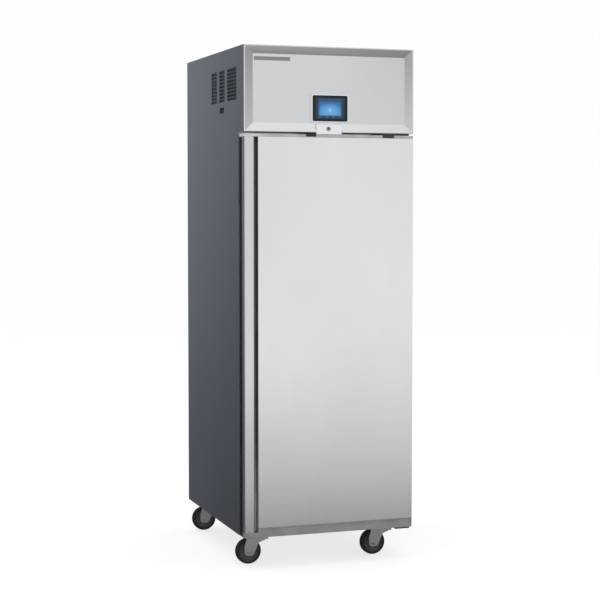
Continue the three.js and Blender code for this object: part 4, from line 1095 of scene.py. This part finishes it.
def condenser():
    low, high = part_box("condenser_coil")
    margin = Vector((0.003, 0.002, 0.002))
    piece("condenser_fins", fin_pack(low + margin, high - margin, 0.0042), FIN_ALUMINIUM,
          replaces=("condenser_coil",))
    plate = block(low.x, low.x + 0.0015, low.y, high.y, low.z, high.z)
    plates = [plate, plate.moved(high.x - low.x - 0.0015)]
    piece("condenser_end_plates", plates, GALVANISED, bevel=0.0004)
    sides = (high.y - 0.013, low.y + 0.013)
    rows = spaced(low.z + 0.018, high.z - 0.018, 9)
    tubes = [rod((low.x - 0.001, y, z), (high.x + 0.001, y, z), 0.0042) for z in rows for y in sides]
    for row, (z0, z1) in enumerate(zip(rows, rows[1:])):
        bend = arc(0.0, (z0 + z1) / 2, (z1 - z0) / 2, -1, 1, 10)
        tubes.append(tube([(high.x + 0.8 * x, sides[row % 2], z) for x, z in bend], 0.0042, 10))
    piece("condenser_tubes", tubes, COPPER, angle=60)
    refined("condenser_shroud", BLACK_PAINT, bevel=0.0006)
    axis_x, axis_z = (low.x + high.x) / 2, (low.z + high.z) / 2
    fan = facing(fan_shape(0.1085, 0.022, 0.032), "+y").moved(axis_x, high.y + 0.008, axis_z)
    piece("condenser_fan_blades", fan, FAN_ALUMINIUM, "condenser_blades",
          replaces=("condenser_fan",), angle=50)
    refined("condenser_motor", ZINC, bevel=0.0012)
    guard = facing(wire_guard(0.117, 7, 0.0013), "+y").moved(axis_x, high.y + 0.0325, axis_z)
    piece("condenser_fan_guard", guard, BLACK_PAINT, angle=60)


def refrigerant_lines(deck):
    """The unit's copper lines. The routes give heights above the deck."""
    liquid = smooth_route(mm([
        (-58, -286, 30), (-80, -280, 30), (-102, -215, 34), (-104, -165, 40),
        (-104, -5, 40), (-100, 37, 34), (-98, 55, 4),
    ]))
    piece("liquid_line_tube", tube(liquid, 0.004, 16).moved(z=deck), COPPER,
          replaces=("liquid_line",), angle=60)
    drier = revolved(mm([
        (0, 0), (4.5, 0), (4.8, 10), (12, 22), (15, 30), (15, 90),
        (12, 98), (4.8, 110), (4.5, 120), (0, 120),
    ]), 40)
    drier = facing(drier, "+y").moved(-0.104, -0.15, deck + 0.04)
    piece("filter_drier", drier, COPPER, angle=50)
    suction = smooth_route(mm([
        (-120, 78, 112), (-94, 52, 124), (-52, 40, 118), (-34, 36, 80),
        (-32, 36, 2),
    ]), 12)
    sleeve = tube(suction[8:], 0.0095, 18).moved(z=deck)
    piece("suction_line_sleeve", sleeve, GASKET_VINYL, angle=60)
    piece("suction_line_tube", tube(suction, 0.007, 18).moved(z=deck), COPPER,
          replaces=("suction_line",), angle=60)
    discharge = smooth_route(mm([
        (-235, 75, 110), (-250, 45, 125), (-252, -20, 120), (-245, -160, 115),
        (-200, -262, 140), (-120, -285, 200), (-56, -286, 238),
    ]))
    piece("discharge_line", tube(discharge, 0.004, 14).moved(z=deck), COPPER, angle=60)


def wiring(deck):
    """Leads from the electrical box to the motor and the compressor, and from the inlet to the box."""
    bundles = [
        [(0.15, 0.1, 0.05), (0.12, 0.095, 0.05), (0.105, 0.02, 0.012), (0.105, -0.09, 0.03),
         (0.105, -0.15, 0.12)],
        [(0.15, 0.13, 0.045), (0.1, 0.135, 0.04), (0.02, 0.15, 0.01), (-0.06, 0.15, 0.03),
         (-0.086, 0.135, 0.08)],
        [(-0.318, -0.1195, 0.094), (-0.3, -0.118, 0.09), (-0.29, -0.06, 0.012),
         (-0.2, 0.02, 0.01), (-0.01, 0.19, 0.01), (0.11, 0.19, 0.02), (0.15, 0.165, 0.05)],
    ]
    leads = [tube(smooth_route(knots, 8), 0.0032, 10).moved(z=deck) for knots in bundles]
    piece("wiring", leads, BLACK_PLASTIC, angle=60)
    low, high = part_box("display_bezel")
    x0, x1, z0, z1 = low.x + 0.004, high.x - 0.004, low.z + 0.003, high.z - 0.003
    board = block(x0, x1, high.y + 0.003, high.y + 0.026, z0, z1)
    piece("control_board_box", board, GREY_PLASTIC, bevel=0.002, segments=3)


def condensate_pan(deck):
    """An open pan for melt water, with the heater tube that dries it up."""
    edge = (0.06, 0.32, 0.25, 0.405)
    layers = [(0.006, 0.0), (0.0, 0.006), (0.0, 0.04), (0.0014, 0.04), (0.0014, 0.007), (0.007, 0.0014)]
    rings = [
        [(x, y, deck + rise) for x, y in rounded_rectangle(*inset(edge, by), 0.012, steps=6)]
        for by, rise in layers
    ]
    piece("condensate_pan", lofted(rings), GALVANISED, angle=50)
    turns = []
    for by in (0.02, 0.038, 0.056):
        route = [(x, y, deck + 0.01) for x, y in rounded_rectangle(*inset(edge, by), 0.012)]
        turns.append(tube(route, 0.004, 8, closed=True))
    piece("condensate_heater_tube", turns, COPPER, angle=60)


# ---- casters

def wheel_shapes():
    """Tyre and ribbed core about the origin, with the axle along Y."""
    tyre = revolved(both_sides(mm([
        (39.5, -13), (42, -15.2), (46, -16), (48.8, -14), (50.2, -10),
        (50.8, -4.5),
    ])), 96, closed=True)
    core = revolved(both_sides(mm([
        (6.2, -15.5), (12, -15.5), (13.5, -14), (15, -9), (18, -7),
        (33, -7), (36, -9.5), (37.5, -13.5), (39.5, -14),
    ])), 64, closed=True)
    ribs = [
        block(0.0145, 0.0362, -0.0016, 0.0016, z, z + 0.004).turned(math.pi / 3 * i, "Z")
        for i in range(6)
        for z in (-0.0105, 0.0065)
    ]
    return [shape.turned(math.pi / 2, "X") for shape in (tyre, core + together(ribs))]


def axle_ends(x, y, z):
    """Washer, nut and stud at both ends of a wheel's axle."""
    ends = []
    for direction, side in (("-y", -1), ("+y", 1)):
        face = y + side * 0.0215
        stud = revolved(mm([(0, 0), (3.8, 0), (3.8, 2.2), (3, 3), (0, 3)]), 24)
        for shape, out in ((disc(0.0088, 0.0012), 0.0), (hexagon(0.0072, 0.005), 0.0012), (stud, 0.0062)):
            ends.append(facing(shape, direction).moved(x, face + side * out, z))
    return ends


CASTER_X = 0.262  # of the swivel axes, on both sides
SWIVEL_TRAIL = 0.034  # from a swivel's axis to its wheel's, towards -X at rest
BOLT_REACH = 0.037  # of the plate bolts from the swivel's axis, along X and along Y
RAIL_UNDERSIDE = 0.1237


def casters():
    tyre, core = wheel_shapes()
    race = revolved(mm([
        (30, 114.8), (34.5, 114.8), (36, 116.5), (36, 119), (34.5, 120.5),
        (30, 120.5),
    ]), closed=True)
    bolt = facing(hexagon(0.0062, 0.0045), "-z")
    corners = (-BOLT_REACH, BOLT_REACH)
    bolts = together(bolt.moved(x, y, RAIL_UNDERSIDE) for x in corners for y in corners)
    for side, x in (("left", -CASTER_X), ("right", CASTER_X)):
        refined(f"caster_rail_{side}", GALVANISED, bevel=0.0006)
        for end in ("front", "rear"):
            name = f"{end}_{side}"
            wheel_low, wheel_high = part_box(f"wheel_{name}")
            middle = (wheel_low + wheel_high) / 2
            piece(f"tyre_{name}", tyre.moved(*middle), TREAD_RUBBER, f"roller_{name}",
                  replaces=(f"wheel_{name}",), angle=50)
            piece(f"wheel_core_{name}", core.moved(*middle), WHEEL_PLASTIC,
                  f"roller_{name}", angle=40)
            refined(f"fork_{name}", ZINC, bevel=0.0009, segments=3)
            piece(f"axle_ends_{name}", axle_ends(x - SWIVEL_TRAIL, middle.y, middle.z), ZINC,
                  f"caster_{name}", bevel=0.0003)
            piece(f"ball_race_{name}", race.moved(x, middle.y), ZINC, angle=50)
            piece(f"plate_bolts_{name}", bolts.moved(x, middle.y), ZINC, bevel=0.0004)
        refined(f"brake_lever_{side}", BLACK_PLASTIC, bevel=0.0012, segments=3)


# ---- studio and camera

def studio():
    scene = bpy.context.scene
    scene.view_settings.view_transform = "Standard"
    scene.world = bpy.data.worlds.new("studio")
    scene.world.use_nodes = True
    background = scene.world.node_tree.nodes["Background"]
    background.inputs["Color"].default_value = (0.99, 0.99, 0.99, 1.0)
    background.inputs["Strength"].default_value = 1.0
    pale = Surface("pale_floor", 0.95)
    pale.drive(
        Base_Color=pale.blend(pale.noise(pale.where, 0.6), (0.28, 0.28, 0.28), (0.3, 0.3, 0.3)),
        Specular_IOR_Level=0.0,
        Emission_Color=(1.0, 1.0, 1.0),
        Emission_Strength=0.7,
    )
    reach = 60.0
    staged("floor", [(-reach, -reach, 0), (reach, -reach, 0), (reach, reach, 0), (-reach, reach, 0)],
           [(0, 1, 2, 3)], pale.material)
    reflected_room()
    softbox("key", (-1.5, -5.5, 4.2), (0, 0, 1.2), 3.0, 60.0)
    softbox("overhead", (0, -0.5, 6.8), (0, -0.5, 0), 7.0, 150.0)


def staged(name, points, faces, material):
    mesh = bpy.data.meshes.new(name)
    mesh.from_pydata(points, [], faces)
    mesh.materials.append(material)
    obj = placed(name, mesh)
    return obj


ROOM_RADIUS = 9.0
ROOM_HEIGHT = 7.0
ROOM_STEPS = 64
WALL_TONES = [  # from behind the object (0) to in front of it (1)
    (0.0, 0.34), (0.022, 0.25), (0.04, 0.2), (0.3, 0.24), (0.6, 0.46), (0.7, 0.62), (0.88, 0.74),
    (0.96, 0.93), (1.0, 0.95),
]
WALL_FOOT_TONES = [
    (0.0, 0.19), (0.022, 0.14), (0.04, 0.12), (0.3, 0.16), (0.6, 0.4), (0.7, 0.58), (0.88, 0.74),
    (0.96, 1.08), (1.0, 1.1),
]
WALL_FOOT = (0.0, 2.4)  # the heights between which the foot's tones give way to the wall's
FLOOR_TONES = [  # from the front of the room (0) to its back (1)
    (0.0, 1.14), (0.22, 1.12), (0.3, 0.82), (0.36, 0.6), (0.42, 0.4), (0.455, 0.2), (0.475, 0.08),
    (0.52, 0.07), (0.6, 0.09), (0.8, 0.12), (1.0, 0.14),
]


def reflected_room():
    """The darker room that only reflections show: a round wall, and the floor inside it."""
    ring = circle(ROOM_RADIUS, ROOM_STEPS)
    wall = [(x, y, z) for z in (0.0, ROOM_HEIGHT) for x, y in ring]
    faces = []
    for i in range(ROOM_STEPS):
        j = (i + 1) % ROOM_STEPS
        faces.append((i, i + ROOM_STEPS, j + ROOM_STEPS, j))
    tones = graded("room_wall", (ROOM_RADIUS, -ROOM_RADIUS), WALL_TONES, WALL_FOOT_TONES)
    hidden(staged("room_wall", wall, faces, tones))
    floor = [(x, y, 0.003) for x, y in ring]
    tones = graded("room_floor", (-ROOM_RADIUS, ROOM_RADIUS), FLOOR_TONES, FLOOR_TONES)
    hidden(staged("room_floor", floor, [tuple(range(ROOM_STEPS))], tones))


def hidden(obj):
    """Keeps a surface out of every ray but reflections."""
    obj.visible_camera = False
    obj.visible_diffuse = False
    obj.visible_shadow = False
    obj.visible_transmission = False


def graded(name, span, upper_tones, lower_tones):
    """Emission whose tone follows Y over the span, and fades from lower to upper tones with height."""
    s = Nodes(name)
    place = s.axes()
    along = s.span(place["Y"], 0.0, 1.0, *span)
    ramps = []
    for tones in (lower_tones, upper_tones):
        ramp = s.add("ShaderNodeValToRGB", Fac=along)
        elements = ramp.color_ramp.elements
        while len(elements) < len(tones):
            elements.new(0.5)
        for element, (position, tone) in zip(elements, tones):
            element.position = position
            element.color = (tone, tone, tone, 1.0)
        ramps.append(ramp.outputs["Color"])
    tone = s.blend(s.span(place["Z"], 0.0, 1.0, *WALL_FOOT), *ramps)
    glow = s.add("ShaderNodeEmission", Color=tone)
    s.tree.nodes.remove(s.tree.nodes["Principled BSDF"])
    s.feed(s.tree.nodes["Material Output"].inputs["Surface"], glow.outputs["Emission"])
    s.material.cycles.emission_sampling = "NONE"
    return s.material


def softbox(name, place, target, size, power):
    data = bpy.data.lights.new(name, "AREA")
    data.size = size
    data.energy = power
    lamp = placed(name, data)
    lamp.location = place
    lamp.rotation_euler = (Vector(target) - Vector(place)).to_track_quat("-Z", "Y").to_euler()
    lamp.visible_glossy = False


CAMERA_PLACE = (-2.0294, -6.017, 1.4187)
CAMERA_DOWN = math.radians(3.016)
CAMERA_ASIDE = math.radians(-18.828)


def camera():
    data = bpy.data.cameras.new("camera")
    data.lens = 91.99
    data.sensor_width = 36.0
    data.shift_x = -0.0005
    data.shift_y = -0.0274
    view = placed("camera", data)
    view.location = CAMERA_PLACE
    view.rotation_euler = (math.pi / 2 - CAMERA_DOWN, 0.0, CAMERA_ASIDE)
    bpy.context.scene.camera = view


camera()
studio()
cabinet_shell()
header()
door()
hinges()
interior()
condensing_unit()
casters()
